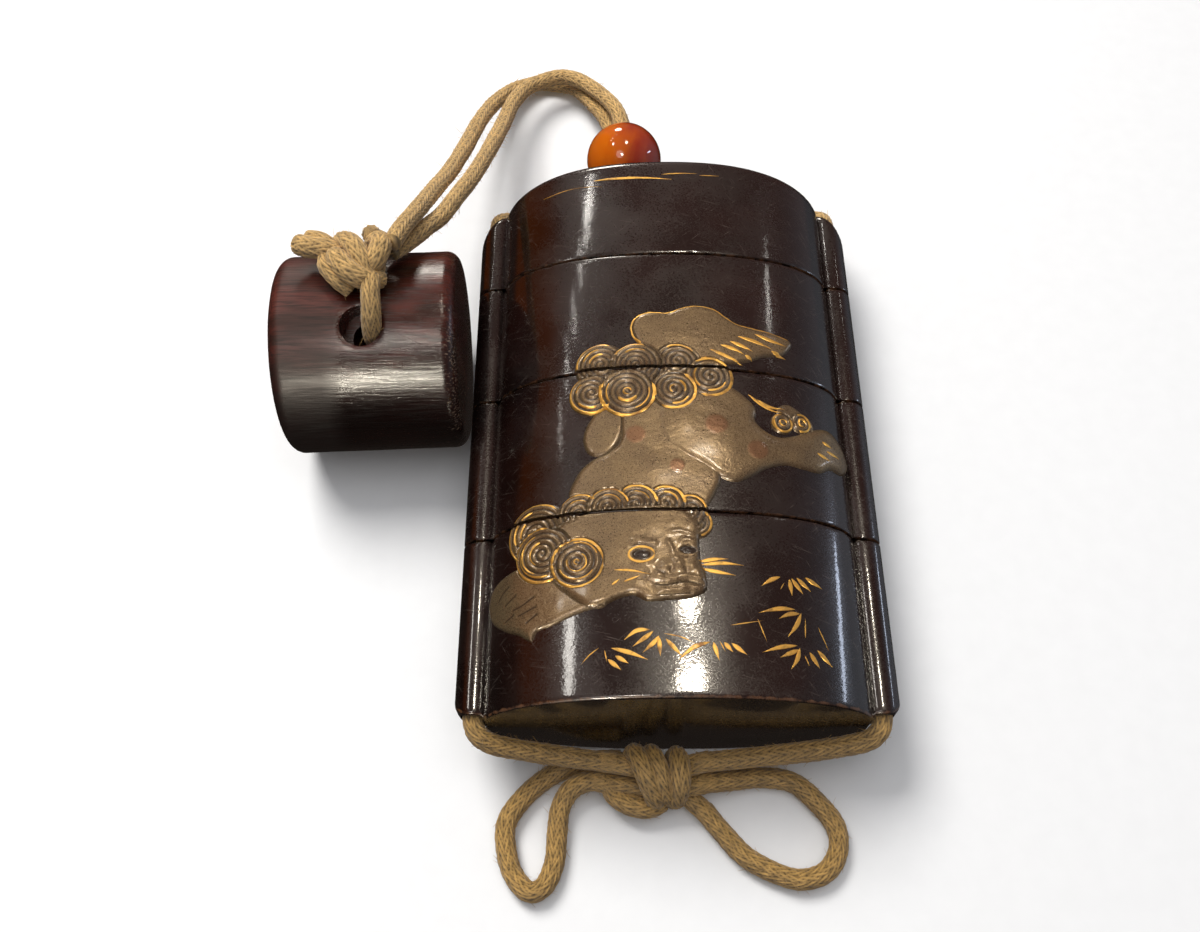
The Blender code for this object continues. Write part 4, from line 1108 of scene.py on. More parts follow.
def netsuke_block(shape, material):
    """Short round block: quarter-circle edges and faintly domed ends, turned about X, with a
    softly sunk rim at each cord hole and a few shallow dents, then set down on its flat."""
    radius = shape.netsuke_radius / MM
    half = shape.netsuke_length / MM / 2
    turn = np.linspace(0, np.pi / 2, 13)
    rim = radius - NETSUKE_EDGE
    share = np.linspace(0, 1, 9)
    face = np.stack([half - NETSUKE_DOME * share**2, rim * share], axis=1)
    shoulder = half - NETSUKE_DOME - NETSUKE_EDGE
    corner = np.stack([shoulder + NETSUKE_EDGE * np.cos(turn), rim + NETSUKE_EDGE * np.sin(turn)], axis=1)
    barrel = np.linspace(shoulder, 0, 42)[1:]
    side = np.stack([barrel, radius + 0 * barrel], axis=1)
    profile = np.vstack([face, corner[1:], side])
    profile = np.vstack([profile, (profile * (-1, 1))[-2::-1]])
    profile[:, 1] = np.maximum(profile[:, 1], 0.001)
    rings = turned(profile, NETSUKE_COLUMNS)
    left = -(shape.runner_x + shape.runner_radius) / MM - NETSUKE_GAP
    centre = np.array([left - half, NETSUKE_Y, np.sqrt(radius**2 - NETSUKE_FLAT_HALF**2)])
    outs = [np.array([0, np.sin(angle), np.cos(angle)]) for angle in np.radians([hole[0] for hole in HOLES])]
    holes = [centre + radius * out + np.array([hole[1], 0, 0]) for out, hole in zip(outs, HOLES)]
    points = turned_about_z(rings.reshape(-1, 3), NETSUKE_YAW) + centre
    inward = unit((centre - points) * (0, 1, 1))
    for hole, (_, _, bore) in zip(holes, HOLES):
        distance = np.linalg.norm(points - hole, axis=1)
        points += inward * (0.2 * smoothstep(bore + 0.6, bore - 0.2, distance) ** 2)[:, None]
    across = points[:, 0] + points[:, 1]
    uneven = wander(across, (9.0, 14.0), 3) * wander(points[:, 1], (8.0, 17.0), 4)
    points += inward * (0.05 * uneven)[:, None]
    points[:, 2] = np.maximum(points[:, 2], 0.0)

    along = rings.reshape(-1, 3)[:, 0]
    near_end = smoothstep(half - 3.2, half - 1.4, np.abs(along))
    lower = smoothstep(3.0, -7.0, points[:, 1] - centre[1]) * (points[:, 2] > centre[2])
    worn = 0.08 * near_end + 0.2 * smoothstep(8.0, 12.5, along) * lower
    faces = grid_faces(len(rings), NETSUKE_COLUMNS, wrap=True)
    block = make_piece("netsuke_block", points, faces, material, {"wear": worn}, weld=True)
    radii = HOLES[0][2] - MOUTH_TAPER * np.arange(4)
    mouth = rod("mouth", holes[0] + 2 * outs[0], holes[0] - 4 * outs[0], radii, 48)
    ring_centre = (holes[0] + holes[1]) / 2 + np.array([0.2, 0, 0])
    major = np.linalg.norm((holes[1] - holes[0])[1:]) / 2
    around = np.linspace(0, 2 * np.pi, 73)[:, None]
    small = np.linspace(0, 2 * np.pi, 28, endpoint=False)[None]
    reach = major + TUNNEL_RADIUS * np.cos(small)
    sideways = 0 * around + TUNNEL_RADIUS * np.sin(small)
    tube = np.stack([sideways, np.cos(around) * reach, np.sin(around) * reach], axis=-1)
    points = tube.reshape(-1, 3) + ring_centre
    tunnel = make_piece("tunnel", points, grid_faces(73, 28, wrap=True), material, weld=True)
    carve(block, [mouth, tunnel])
    return block


def agate_bead(shape, material):
    """Round bead with a bore: the circle r = R from one bore edge to the other, softened there,
    and the bore's own wall, turned about X and set along the cord."""
    radius = shape.bead_radius / MM
    bore = shape.bead_bore / MM
    start = np.arcsin((bore + 0.25) / radius)
    turn = np.linspace(start, np.pi - start, 61)
    ball = np.stack([radius * np.cos(turn), radius * np.sin(turn)], axis=1)
    end = ball[0, 0]
    inner_turn = np.linspace(0, 1, 9)[1:-1]
    inner = np.stack([-end * (1 - 2 * inner_turn), bore + 0 * inner_turn], axis=1)
    profile = np.vstack([ball, inner, ball[:1]])
    points = turned_about_z(turned(profile, BEAD_COLUMNS).reshape(-1, 3), BEAD_LEAN) + mid_of("bead")
    faces = grid_faces(len(profile), BEAD_COLUMNS, wrap=True)
    return make_piece("agate_bead", points, faces, material, weld=True)


# Cords. Their routes are the ones of the model, in millimetres

LEFT_FROM_KNOT = [
    (-37.4, 17.6, 31.8), (-36.6, 21.8, 30.0), (-35.3, 29.3, 25.7), (-34.1, 36.6, 21.5),
    (-32.9, 43.6, 17.5), (-31.5, 52.3, 13.5), (-29.9, 62.3, 9.5), (-28.0, 70.1, 6.0),
    (-25.3, 75.7, 3.4), (-21.3, 79.0, 1.9), (-17.7, 79.1, 1.5), (-14.6, 77.8, 2.0),
    (-11.7, 73.4, 3.4), (-9.1, 67.9, 4.7), (-7.7, 63.4, 4.95), (-6.5, 56.3, 4.95),
    (-5.4, 49.3, 4.9), (-7.0, 46.6, 4.6), (-10.5, 45.2, 4.3), (-15.0, 44.5, 4.2),
    (-19.3, 43.9, 4.8), (-22.9, 42.8, 6.5), (-24.9, 41.0, 8.7), (-25.6, 39.2, 10.2),
    (-25.7, 37.0, 10.7),
]
LEFT_TO_BOW = [
    (-25.6, -39.5, 10.7), (-25.6, -41.8, 10.6), (-25.0, -43.2, 10.0), (-23.5, -44.0, 8.9),
    (-21.2, -44.3, 7.8), (-16.5, -44.7, 6.4), (-11.4, -45.2, 5.6), (-7.6, -45.6, 5.5),
]
RIGHT_FROM_KNOT = [
    (-38.0, 18.6, 28.6), (-36.2, 22.2, 26.6), (-34.4, 26.2, 24.7), (-32.7, 30.0, 22.8),
    (-30.9, 36.0, 20.5), (-29.4, 41.7, 18.0), (-28.0, 48.7, 15.0), (-26.8, 55.9, 12.0),
    (-25.8, 62.3, 9.4), (-24.7, 68.6, 7.4), (-22.7, 73.4, 6.0), (-19.8, 76.1, 5.2),
    (-16.4, 77.3, 5.0), (-13.3, 75.7, 5.6), (-10.2, 72.0, 6.6), (-7.4, 67.3, 7.7),
    (-6.0, 63.4, 7.45), (-4.9, 56.3, 7.45), (-3.8, 49.3, 7.4), (-2.0, 46.8, 7.0),
    (2.0, 45.5, 6.3), (7.5, 45.0, 5.2), (13.0, 44.6, 4.6), (18.0, 43.9, 4.8),
    (22.9, 42.8, 6.5), (24.9, 41.0, 8.7), (25.6, 39.2, 10.2), (25.7, 37.0, 10.7),
]
RIGHT_TO_BOW = [
    (25.6, -39.5, 10.7), (25.6, -41.8, 10.6), (25.0, -43.2, 10.0), (23.3, -44.0, 9.0),
    (18.6, -44.4, 7.2), (12.9, -44.7, 5.8), (7.1, -45.1, 5.1), (2.6, -45.5, 5.0),
]
THROUGH_NETSUKE = [
    (-39.9, 12.4, 30.9), (-39.9, 10.6, 30.9), (-39.8, 8.4, 29.7), (-40.0, 7.3, 27.5),
    (-40.3, 7.4, 24.8), (-40.6, 8.6, 22.2), (-40.9, 10.6, 20.3), (-40.9, 13.0, 19.5),
    (-40.9, 15.6, 19.6), (-40.9, 18.0, 20.7), (-40.9, 19.8, 22.7), (-40.9, 20.8, 25.3),
    (-40.8, 21.2, 28.3), (-40.8, 20.4, 30.2),
]
BOW_LOOP_LEFT = [
    (-9.0, -47.3, 3.2), (-10.7, -47.2, 3.0), (-13.3, -48.1, 2.6), (-14.8, -50.4, 1.9),
    (-15.2, -53.4, 1.5), (-15.5, -57.1, 1.4), (-16.7, -59.9, 1.4), (-18.6, -60.6, 1.4),
    (-20.6, -58.6, 1.4), (-21.6, -55.7, 1.4), (-21.7, -52.2, 1.4), (-19.7, -49.1, 1.4),
    (-17.0, -46.7, 1.4), (-14.0, -45.1, 1.4), (-10.5, -44.2, 1.4), (-7.0, -44.1, 1.4),
]
BOW_LOOP_RIGHT = [
    (2.6, -47.6, 2.9), (7.2, -47.0, 2.0), (11.2, -46.5, 1.5), (15.2, -47.1, 1.4),
    (18.1, -49.6, 1.4), (20.2, -52.6, 1.4), (20.3, -55.7, 1.4), (18.5, -58.3, 1.4),
    (15.3, -59.2, 1.4), (12.0, -58.3, 1.4), (8.6, -56.4, 1.4), (5.8, -53.4, 1.4),
    (3.5, -50.5, 1.4),
]
# Turns of cord that make up the two knots: points, and thickness at the middle and at the ends
NETSUKE_TURNS = [
    ([(-38.6, 15.8, 29.6), (-41.5, 15.2, 30.0), (-45.6, 16.6, 29.6)], 1.9, 0.7),
    ([(-40.9, 19.6, 28.9), (-39.3, 18.6, 30.9), (-38.9, 16.6, 31.9), (-39.6, 14.6, 31.7),
      (-41.0, 13.6, 30.3)], 1.15, 0.9),
    ([(-38.9, 13.4, 29.2), (-40.6, 12.2, 30.9), (-42.6, 12.6, 32.0), (-44.4, 14.6, 31.9),
      (-45.2, 16.6, 30.4)], 1.2, 0.9),
    ([(-45.2, 19.4, 28.9), (-44.2, 18.6, 30.9), (-42.6, 16.8, 32.2), (-41.4, 14.8, 32.3),
      (-40.4, 12.6, 31.0)], 1.1, 0.9),
    ([(-42.8, 11.6, 29.0), (-44.4, 12.6, 30.3), (-46.0, 14.6, 30.6), (-46.4, 17.0, 30.0)], 1.05, 0.8),
    ([(-44.4, 16.8, 30.0), (-46.6, 17.2, 30.9), (-48.6, 17.6, 30.8), (-50.6, 18.6, 30.2)], 1.15, 1.1),
    ([(-45.6, 18.4, 29.4), (-47.6, 19.4, 30.0), (-49.6, 20.0, 29.8)], 0.95, 0.85),
]
BOW_TURNS = [
    ([(-9.6, -45.4, 5.5), (-6.0, -45.9, 5.3), (-2.0, -46.4, 5.0), (1.6, -45.8, 4.9),
      (4.4, -45.2, 5.0)], 1.0, 1.0),
    ([(-10.6, -47.2, 3.0), (-6.5, -47.9, 3.1), (-2.0, -48.2, 3.0), (1.6, -48.0, 3.0),
      (4.6, -47.3, 2.5)], 1.0, 1.0),
    ([(-8.4, -44.1, 1.4), (-4.0, -45.2, 1.5), (0.0, -47.6, 1.5), (3.9, -51.0, 1.4)], 1.0, 1.0),
    ([(-5.0, -47.0, 3.4), (-2.0, -47.1, 3.6), (1.4, -47.0, 3.4)], 1.7, 0.9),
    ([(-5.4, -44.4, 3.0), (-5.3, -44.5, 5.6), (-4.6, -45.9, 7.0), (-3.7, -47.9, 6.8),
      (-2.9, -49.4, 5.0), (-2.6, -49.7, 2.6)], 1.1, 1.0),
    ([(-3.3, -44.4, 3.0), (-3.2, -44.6, 5.8), (-2.6, -46.1, 7.0), (-1.9, -48.1, 6.5),
      (-1.5, -49.4, 4.4)], 1.05, 1.0),
    ([(-0.2, -44.5, 3.0), (0.1, -44.8, 5.5), (0.3, -46.5, 6.8), (0.3, -48.4, 6.1),
      (0.0, -49.5, 3.8), (-0.5, -49.2, 1.7)], 1.1, 1.0),
    ([(-1.6, -49.6, 1.7), (-3.6, -50.5, 2.4), (-5.9, -50.3, 2.8), (-7.7, -49.1, 2.5),
      (-8.6, -47.6, 2.8)], 1.05, 0.95),
]


def braid(along, around):
    """Height of the braid from 0 to 1: columns of slanted strands, each column leaning against
    its neighbours. A strand is |sin(pi phase)|^0.6 along, and a half circle across. Returns also
    the place along a strand's side and across it, for its threads."""
    column = around / (2 * np.pi) * BRAID_COLUMNS
    which = np.floor(column).astype(int)
    across = column - which - 0.5
    lean = np.where(which % 2 == 0, 1.0, -1.0)
    phase = along / BRAID_PITCH + lean * across * BRAID_LEAN
    strand = np.abs(np.sin(np.pi * phase)) ** 0.6
    return strand * np.sqrt(np.clip(1 - (1.75 * across) ** 2, 0, 1)), phase * BRAID_PITCH, across


def braided_tube(path, radius, reference, thickness, seed):
    """Braided cord: the braid's height laid round a line, with frames square to the line and
    levelled by a reference direction. Returns rows of points, strand heights and thread map."""
    ahead = unit(np.gradient(path, axis=0))
    side = unit(np.cross(ahead, reference))
    up = np.cross(side, ahead)
    along = arc_length(path)[:, None] + 3.7 * seed
    around = np.linspace(0, 2 * np.pi, CORD_COLUMNS, endpoint=False)[None, :]
    twist = around + 0.25 * wander(along, (17.0, 41.0), seed)
    height, across_thread, along_thread = braid(along, np.mod(twist, 2 * np.pi))
    loose = 1 + 0.03 * wander(along, (5.0, 9.0, 23.0), seed + 50)
    reach = radius * thickness[:, None] * loose * (0.84 + 0.2 * height)
    offset = np.cos(around)[..., None] * side[:, None, :] + np.sin(around)[..., None] * up[:, None, :]
    points = path[:, None, :] + offset * reach[..., None]
    threads = np.stack([across_thread + 0 * height, along_thread * 1.02 + 0 * height], axis=-1)
    return points, height, threads


def loose_fibres(points, per_mm, seed):
    """Short stray threads: each leaves the surface along the cord and lifts in a slight curve,
    p + along (a t) + out (b t^1.6) + side (c t^2), as rings of a thin three-sided tube."""
    random = np.random.default_rng(seed)
    rows, wide = points.shape[:2]
    middle = points.mean(axis=1)
    count = int(arc_length(middle)[-1] * per_mm)
    row = random.integers(4, rows - 4, count)
    start = points[row, random.integers(0, wide, count)]
    out = unit(start - middle[row])
    along = unit((middle[row + 3] - middle[row - 3]) * random.choice([-1, 1], count)[:, None])
    side = np.cross(out, along)
    along = along + side * random.normal(0, 0.7, count)[:, None]
    t = np.linspace(0, 1, 5)[None, :, None]
    reach = random.uniform(0.4, 1.3, count)[:, None, None]
    lift = random.uniform(0.1, 0.7, count)[:, None, None]
    bend = random.normal(0, 0.35, count)[:, None, None]
    line = (start - out * 0.1)[:, None, :] + along[:, None, :] * reach * t
    line = line + out[:, None, :] * lift * t**1.6 + side[:, None, :] * bend * t**2
    line[..., 2] = np.maximum(line[..., 2], 0.05)
    around = np.radians([0, 120, 240])[None, None, :, None]
    thin = np.array([0.045, 0.04, 0.035, 0.03, 0.02])[None, :, None, None]
    ring = np.cos(around) * out[:, None, None, :] + np.sin(around) * side[:, None, None, :]
    return (line[:, :, None, :] + thin * ring).reshape(count, 5, 3, 3)


def cord_piece(name, strands, material):
    """One mesh from several braided strands and their stray fibres, each closed at both ends."""
    tubes = list(strands)
    for number, (block, _, _) in enumerate(strands):
        for hair in loose_fibres(block, FIBRES_PER_MM, number + len(name)):
            grid = hair.shape[:2]
            tubes.append((hair, np.full(grid, FIBRE_SHADE), np.zeros((*grid, 2))))
    faces, caps, total = [], [], 0
    for block, _, _ in tubes:
        rows, wide = block.shape[:2]
        faces.append(grid_faces(rows, wide, wrap=True, start=total))
        caps.extend(end_faces(rows, wide, total))
        total += rows * wide
    points, heights, threads = (
        np.concatenate([part.reshape(-1, size) for part in parts])
        for parts, size in zip(zip(*tubes), (3, 1, 2))
    )
    made = make_piece(name, points, np.concatenate(faces), material, {"strand": heights}, caps)
    made.data.set_sharp_from_angle(angle=np.pi)
    layer = made.data.uv_layers.new(name="threads")
    corners = np.zeros(len(made.data.loops), np.int32)
    made.data.loops.foreach_get("vertex_index", corners)
    layer.data.foreach_set("uv", threads[corners].astype(np.float32).ravel())
    return made


def cord_path(*routes):
    """Line of a cord through its routes, with the straight run in the case's channel between."""
    parts = [smooth_path(route, CORD_ROW) for route in routes]
    if len(parts) == 2:
        first, second = parts[0][-1], parts[1][0]
        count = int(np.linalg.norm(second - first) / 0.5)
        run = first + (second - first) * np.linspace(0, 1, count + 1)[1:-1, None]
        parts.insert(1, run)
    return np.concatenate(parts)


# Sizes and colours that a user may change


def length_prop(name, text, value):
    return bpy.props.FloatProperty(
        name=name, description=text, default=value * MM, min=0.0, unit="LENGTH", precision=5
    )


def colour_prop(name, text, value):
    return bpy.props.FloatVectorProperty(
        name=name, description=text, default=colour(value), size=4, subtype="COLOR", min=0.0, max=1.0
    )


class InroShape(bpy.types.PropertyGroup):
    """Sizes of the pieces, as in the model."""

    body_half_width: length_prop("Body half width", "From the middle to the side of the body", 24.4)
    body_half_depth: length_prop("Body half depth", "From the middle to the front of the body", 10.84)
    roundness: bpy.props.FloatProperty(
        name="Roundness", description="Power of the body's superellipse section", default=2.2, min=1.5
    )
    back_flat_half_width: length_prop("Half flat", "Half the width of the flat on the back", 4.5)
    runner_x: length_prop("Runner place", "From the middle to the axis of a cord runner", 25.6)
    runner_radius: length_prop("Runner radius", "Radius of a cord runner", 2.4)
    seam_gap: length_prop("Seam gap", "Gap between two pieces of the stack", 0.3)
    seam_edge: length_prop("Seam edge", "Rounding of the edges at a seam", 0.2)
    foot_edge: length_prop("Foot edge", "Rounding of the foot's rim", 0.5)
    lid_shoulder: length_prop("Lid shoulder", "Rounding of the lid's end", 1.6)
    lid_crown: length_prop("Lid crown", "Fall of the lid's arched end at its sides", 11.0)
    netsuke_length: length_prop("Netsuke length", "Length of the netsuke", 26.0)
    netsuke_radius: length_prop("Netsuke radius", "Radius of the netsuke", 14.1)
    bead_radius: length_prop("Bead radius", "Radius of the bead", 6.2)
    bead_bore: length_prop("Bead bore", "Radius of the bead's bore", 3.15)
    cord_diameter: length_prop("Cord", "Thickness of the cord", 2.6)


class InroFinish(bpy.types.PropertyGroup):
    """Colours of the finishes."""

    lacquer: colour_prop("Lacquer", "Lacquer ground", "#0c0504")
    lacquer_warm: colour_prop("Lacquer, warm", "Lacquer where it has thinned", "#160907")
    lacquer_worn: colour_prop("Lacquer, worn", "Lacquer rubbed through at its edges", "#5a3d28")
    lacquer_scratch: colour_prop("Scratches", "Fine scratches in the lacquer", "#6d625a")
    bronze: colour_prop("Bronze", "Raised lacquer dusted with bronze", "#7a6546")
    bronze_dark: colour_prop("Bronze, dark", "Raised lacquer where the powder is thin", "#594733")
    bronze_fleck: colour_prop("Flecks", "Bright flecks of the bronze powder", "#b09d78")
    bronze_red: colour_prop("Bronze, red", "Reddened spots", "#7c573c")
    # Colour of the cut lines, also laid as painted shade in the relief's creases and grooves
    bronze_cut_and_shade: colour_prop("Cut lines", "Lines cut in the raised lacquer", "#251a10")
    gold: colour_prop("Gold", "Gold powder", "#e6b75c")
    gold_worn: colour_prop("Gold, worn", "Gold rubbed down to its ground", "#8a5f2c")
    wood: colour_prop("Wood", "Netsuke wood", "#2c120b")
    wood_red: colour_prop("Wood, red", "Netsuke wood where it is rubbed", "#4f2018")
    # Colour of the grain, also laid as painted shade on the netsuke's lower side
    wood_grain_and_shade: colour_prop("Wood grain", "Grain of the netsuke wood", "#170b09")
    wood_scuff: colour_prop("Wood, scuffed", "Pale scuffs on the netsuke", "#8f7a68")
    agate: colour_prop("Agate", "Agate, orange", "#c4600f")
    agate_red: colour_prop("Agate, red", "Agate, red", "#96301a")
    # The cord's colour in painted light above the lid, and in painted shade at the foot
    silk: colour_prop("Silk", "Cord above the lid", "#c49f65")
    silk_shaded: colour_prop("Silk, brown", "Cord at the foot", "#a98549")
    floor: colour_prop("Floor", "Floor", "#ededed")
    floor_light: colour_prop("Floor, light", "Floor's paler tone", "#f2f2f2")
    fill: colour_prop("Fill", "Plain light around", "#8e8e90")
    room: colour_prop("Room", "Room above", "#82615a")
    room_left: colour_prop("Room, left", "Warm wall at the left", "#8f430c")
    room_dark: colour_prop("Room, dark", "Dark corner at the far left", "#1c1511")
    room_right: colour_prop("Room, right", "Room at the right", "#8f929a")
    room_below: colour_prop("Room, below", "Table around", "#2f2925")


def stack_of(shape):
    """Pieces of the case with their lowest and highest place along Y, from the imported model."""
    order = ("lower_case", "middle_case", "upper_case", "lid")
    gap = shape.seam_gap / MM / 2
    lows = [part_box(node)[0][1] / MM for node in order]
    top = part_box("lid")[1][1] / MM
    seams = [lows[0], *(low - gap for low in lows[1:]), top]
    return [(name, seams[i], seams[i + 1]) for i, name in enumerate(order)]


# Stage. Places are millimetres from the origin of the model

CAMERA_PLACE = (-8.53, -87.2, 157.5)
CAMERA_RIGHT = (1.0, 0.0001, -0.0078)
CAMERA_BACK = (0.0069, -0.4879, 0.8729)
FLOOR_REACH = 900.0

# Name, both ends, width, power in watts, colour, and whether it lights matt or mirroring surfaces
LAMPS = [
    ("key", (-280, 300, 570), (-280, 300, 570), 380, 4.9, "#fffdfa", "fill"),
    ("soft", (60, -60, 950), (60, -60, 950), 900, 2.6, "#fbfcff", "fill"),
    ("lamp_far", (38, 206, 573), (76, 206, 573), 14, 0.34, "#fff4e0", "shine"),
    ("lamp_near", (34, 150, 586), (82, 150, 586), 16, 0.52, "#fff4e0", "shine"),
    ("streak_top", (-172, 450, 434), (-210, 414, 434), 7, 0.075, "#fffaf2", "shine"),
    ("streak_a", (-222, 401, 435), (-233, 391, 435), 6, 0.014, "#fffaf2", "shine"),
    ("streak_b", (-256, 371, 436), (-262, 366, 436), 6, 0.012, "#fffaf2", "shine"),
    ("streak_c", (-286, 343, 433), (-298, 332, 433), 5, 0.012, "#fffaf2", "shine"),
    ("streak_d", (-322, 308, 430), (-330, 299, 430), 5, 0.009, "#fffaf2", "shine"),
    ("streak_fine", (329, 402, 364), (332, 350, 398), 5, 0.022, "#fffaf2", "shine"),
    ("streak_low", (-292, 222, 494), (-308, 130, 516), 44, 0.22, "#fffaf2", "shine"),
    ("rim", (-100, 545, 230), (-100, 545, 230), 110, 0.9, "#fff8ec", "shine"),
    ("window_right", (562, 235, 85), (568, 128, 196), 32, 0.16, "#dce8ff", "shine"),
    ("window", (-156, -535, 268), (-92, -540, 268), 22, 2.3, "#fff6e2", "shine"),
    ("overhead", (-84, -200, 580), (-84, -240, 570), 50, 0.6, "#fff6e6", "shine"),
    ("ceiling", (-150, -200, 560), (-150, -200, 560), 260, 0.45, "#f8eeea", "shine"),
]


def put_in_scene(name, data, side, up, away, place):
    """Object of a camera or a lamp: its own axes point along side, up and away."""
    made = bpy.data.objects.new(name, data)
    turn = Matrix((side, up, away)).transposed().to_4x4()
    made.matrix_world = Matrix.Translation(place) @ turn
    bpy.context.scene.collection.objects.link(made)
    return made


def add_camera():
    """Camera above the foot of the case, looking down along it."""
    camera = bpy.data.cameras.new("camera")
    camera.lens, camera.sensor_width = 36.0, 36.0
    camera.clip_start, camera.clip_end = 0.01, 10.0
    back = Vector(CAMERA_BACK).normalized()
    up = back.cross(Vector(CAMERA_RIGHT)).normalized()
    viewer = put_in_scene("camera", camera, up.cross(back), up, back, Vector(CAMERA_PLACE) * MM)
    bpy.context.scene.camera = viewer


def add_floor(finish):
    """Pale floor, which neither colours nor shows in the lacquer."""
    corners = np.array([(-1, -1, 0), (1, -1, 0), (1, 1, 0), (-1, 1, 0)]) * FLOOR_REACH
    floor = make_piece("floor", corners, np.array([[0, 1, 2, 3]]), pale_floor(finish))
    floor.visible_glossy = False
    floor.visible_diffuse = False


def add_room(finish):
    """Room around: plain where it lights matt surfaces, and with a warm wall, dark corner, pale
    side and table where it is mirrored."""
    world = bpy.data.worlds.new("studio")
    world.use_nodes = True
    tree = world.node_tree
    way = add(tree, "SeparateXYZ", {0: add(tree, "TexCoord", {}, "Generated")}).node.outputs
    tone = finish.room
    for axis, low, high, tint in (
        ("X", -0.47, -0.56, finish.room_left),
        ("X", -0.8, -0.88, finish.room_dark),
        ("Z", 0.02, -0.1, finish.room_below),
        ("X", 0.6, 0.92, finish.room_right),
    ):
        share = add(tree, "MapRange", {0: way[axis], 1: low, 2: high})
        tone = add(tree, "Mix", {"data_type": "RGBA", 0: share, 6: tone, 7: tint}, 2)
    mirrored = add(tree, "LightPath", {}, "Is Glossy Ray")
    seen = add(tree, "Mix", {"data_type": "RGBA", 0: mirrored, 6: finish.fill, 7: tone}, 2)
    give(tree.nodes["Background"], {"Color": seen})
    bpy.context.scene.world = world
    bpy.context.scene.view_settings.view_transform = "Standard"


def add_lamps():
    """Oval lamps that face the origin, each as long as from one end to the other."""
    for name, one, other, width, watts, tint, role in LAMPS:
        one, other = Vector(one) * MM, Vector(other) * MM
        light = bpy.data.lights.new(name, "AREA")
        light.shape = "ELLIPSE"
        light.size = width * MM
        light.size_y = max(width * MM, (other - one).length)
        light.energy = watts
        light.color = colour(tint)[:3]
        middle = (one + other) / 2
        along = (other - one).normalized() if one != other else Vector((1.0, 0.0, 0.0))
        side = along.cross(middle).normalized()
        made = put_in_scene(name, light, side, along, side.cross(along).normalized(), middle)
        made.visible_camera = False
        made.visible_glossy = role == "shine"
        made.visible_diffuse = role == "fill"


# Operators


class INRO_OT_stage(bpy.types.Operator):
    """Make the camera, the floor and the soft lights"""

    bl_idname = "inro.stage"
    bl_label = "Camera, floor and lights"

    def execute(self, context):
        finish = context.scene.inro_finish
        add_camera()
        add_floor(finish)
        add_room(finish)
        add_lamps()
        return {"FINISHED"}


class INRO_OT_cords(bpy.types.Operator):
    """Make the braided cord, its bow and its two knots"""

    bl_idname = "inro.cords"
    bl_label = "Cord, bow and knots"

    def execute(self, context):
        shape = context.scene.inro_shape
        silk = braided_silk(context.scene.inro_finish)
        radius = shape.cord_diameter / MM / 2
        level, across = np.array([0.0, 0.0, 1.0]), np.array([1.0, 0.0, 0.0])
        for name, node, turns in (
            ("netsuke_knot", "knot_netsuke", NETSUKE_TURNS),
            ("bow_knot", "knot_bow", BOW_TURNS),
        ):
            strands = []
            for number, (route, middle, end) in enumerate(turns):
                path = smooth_path(route, CORD_ROW)
                thick = end + (middle - end) * np.sin(np.pi * np.linspace(0, 1, len(path))) ** 0.6
                strands.append(braided_tube(path, radius, across * 0.4 + level * 0.9, thick, number + 3))
            settle(cord_piece(name, strands, silk), "silk_cord", node)
        cords = [
            ("cord_left", (LEFT_FROM_KNOT, LEFT_TO_BOW), level, "knot", ["knot_bow"]),
            ("cord_right", (RIGHT_FROM_KNOT, RIGHT_TO_BOW), level, "object", []),
            ("cord_netsuke", (THROUGH_NETSUKE,), across, "knot", ["knot_netsuke"]),
            ("bow_loop_left", (BOW_LOOP_LEFT,), level, "object", []),
            ("bow_loop_right", (BOW_LOOP_RIGHT,), level, "object", []),
        ]
        for number, (node, routes, reference, far_end, ends) in enumerate(cords):
            path = cord_path(*routes)
            strand = braided_tube(path, radius, reference, np.ones(len(path)), number)
            piece = settle(cord_piece(node + "_braid", [strand], silk), "silk_cord", node)
        return {"FINISHED"}


class INRO_OT_case(bpy.types.Operator):
    """Make the lid and the three cases in lacquer"""

    bl_idname = "inro.case"
    bl_label = "Lacquer case"

    def execute(self, context):
        shape = context.scene.inro_shape
        lacquer = urushi_lacquer(context.scene.inro_finish)
        middle = back_depth(shape)
        bore = shape.cord_diameter / MM / 2 + BORE_CLEARANCE
        past = 12.0
        for name, low, high in stack_of(shape):
            piece = case_mesh(shape, name, low, high, lacquer)
            tools = [
                rod("bore", (x, low - past, middle), (x, high + past, middle), [bore, bore])
                for x in (-shape.runner_x / MM, shape.runner_x / MM)
            ]
            carve(piece, tools)
            settle(piece, "lacquer", name)
        return {"FINISHED"}


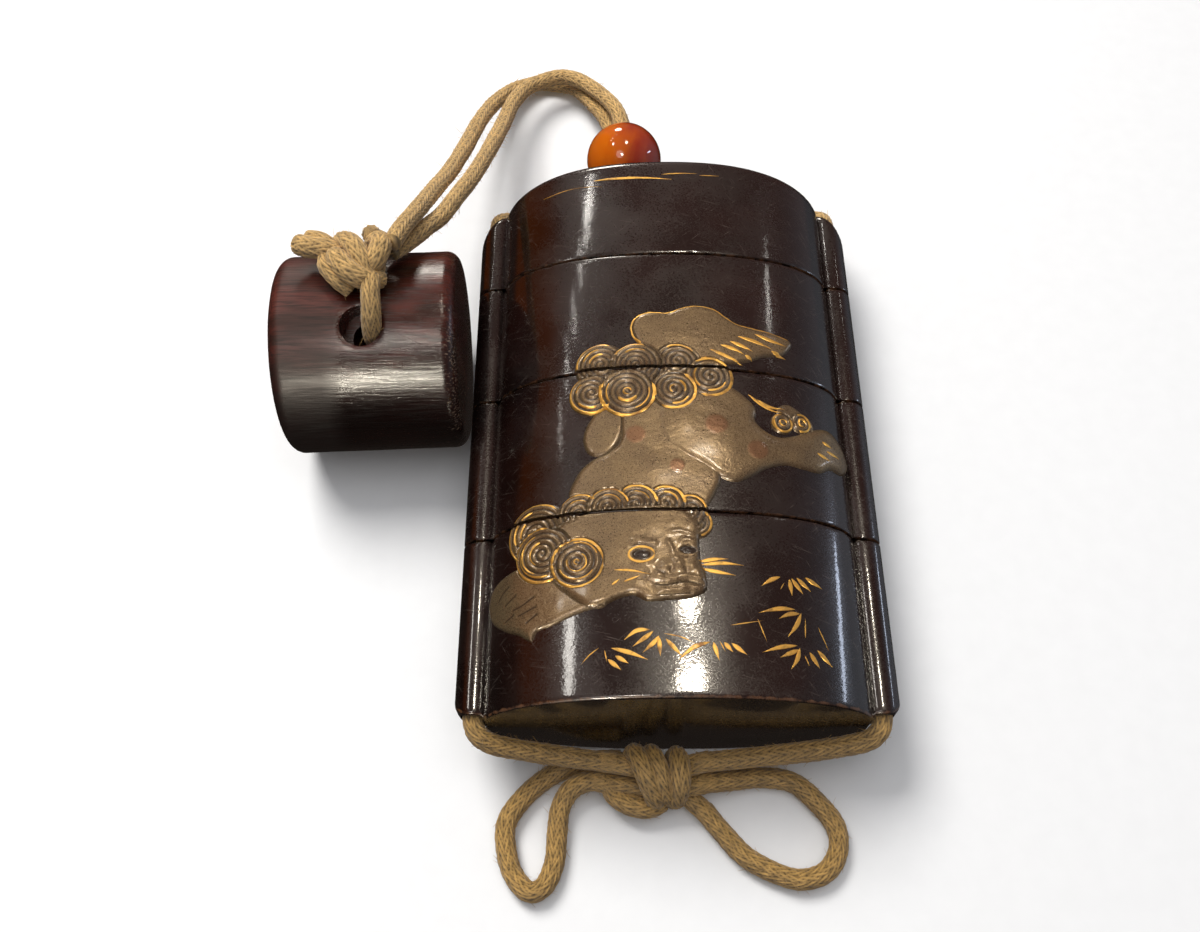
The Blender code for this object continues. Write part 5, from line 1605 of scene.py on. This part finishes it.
class INRO_OT_picture(bpy.types.Operator):
    """Make the raised and gilded picture on the front of the case"""

    bl_idname = "inro.picture"
    bl_label = "Raised picture"

    def execute(self, context):
        shape, finish = context.scene.inro_shape, context.scene.inro_finish
        stack = stack_of(shape)
        bronze, gold = bronze_lacquer(finish), gold_powder(finish)
        for name, low, high in stack:
            patch = relief_patch(shape, name, low, high, bronze) if name != "lid" else None
            if patch:
                settle(patch, "lacquer")
        for piece in gilding(shape, stack, gold):
            settle(piece, "lacquer")
        return {"FINISHED"}


class INRO_OT_netsuke(bpy.types.Operator):
    """Make the wooden netsuke"""

    bl_idname = "inro.netsuke"
    bl_label = "Netsuke"

    def execute(self, context):
        wood = polished_hardwood(context.scene.inro_finish)
        settle(netsuke_block(context.scene.inro_shape, wood), "netsuke_wood", "netsuke")
        return {"FINISHED"}


class INRO_OT_bead(bpy.types.Operator):
    """Make the agate bead"""

    bl_idname = "inro.bead"
    bl_label = "Bead"

    def execute(self, context):
        agate = banded_agate(context.scene.inro_finish)
        settle(agate_bead(context.scene.inro_shape, agate), "agate", "bead")
        return {"FINISHED"}


class INRO_PT_panel(bpy.types.Panel):
    """Lists the steps that make the inro"""

    bl_idname = "INRO_PT_panel"
    bl_label = "Inro"
    bl_space_type = "VIEW_3D"
    bl_region_type = "UI"
    bl_category = "Inro"

    def draw(self, context):
        for step in OPERATORS:
            self.layout.operator(step.bl_idname)
        for group in (context.scene.inro_shape, context.scene.inro_finish):
            for name in group.bl_rna.properties.keys():
                if name not in ("rna_type", "name"):
                    self.layout.prop(group, name)


OPERATORS = (
    INRO_OT_stage,
    INRO_OT_cords,
    INRO_OT_case,
    INRO_OT_picture,
    INRO_OT_netsuke,
    INRO_OT_bead,
)
CLASSES = (InroShape, InroFinish, *OPERATORS, INRO_PT_panel)


def register():
    for one in CLASSES:
        bpy.utils.register_class(one)
    bpy.types.Scene.inro_shape = bpy.props.PointerProperty(type=InroShape)
    bpy.types.Scene.inro_finish = bpy.props.PointerProperty(type=InroFinish)


def unregister():
    del bpy.types.Scene.inro_shape
    del bpy.types.Scene.inro_finish
    for one in reversed(CLASSES):
        bpy.utils.unregister_class(one)


def main():
    register()
    bpy.ops.inro.stage()
    bpy.ops.inro.cords()
    bpy.ops.inro.case()
    bpy.ops.inro.picture()
    bpy.ops.inro.netsuke()
    bpy.ops.inro.bead()


if __name__ == "__main__":
    main()
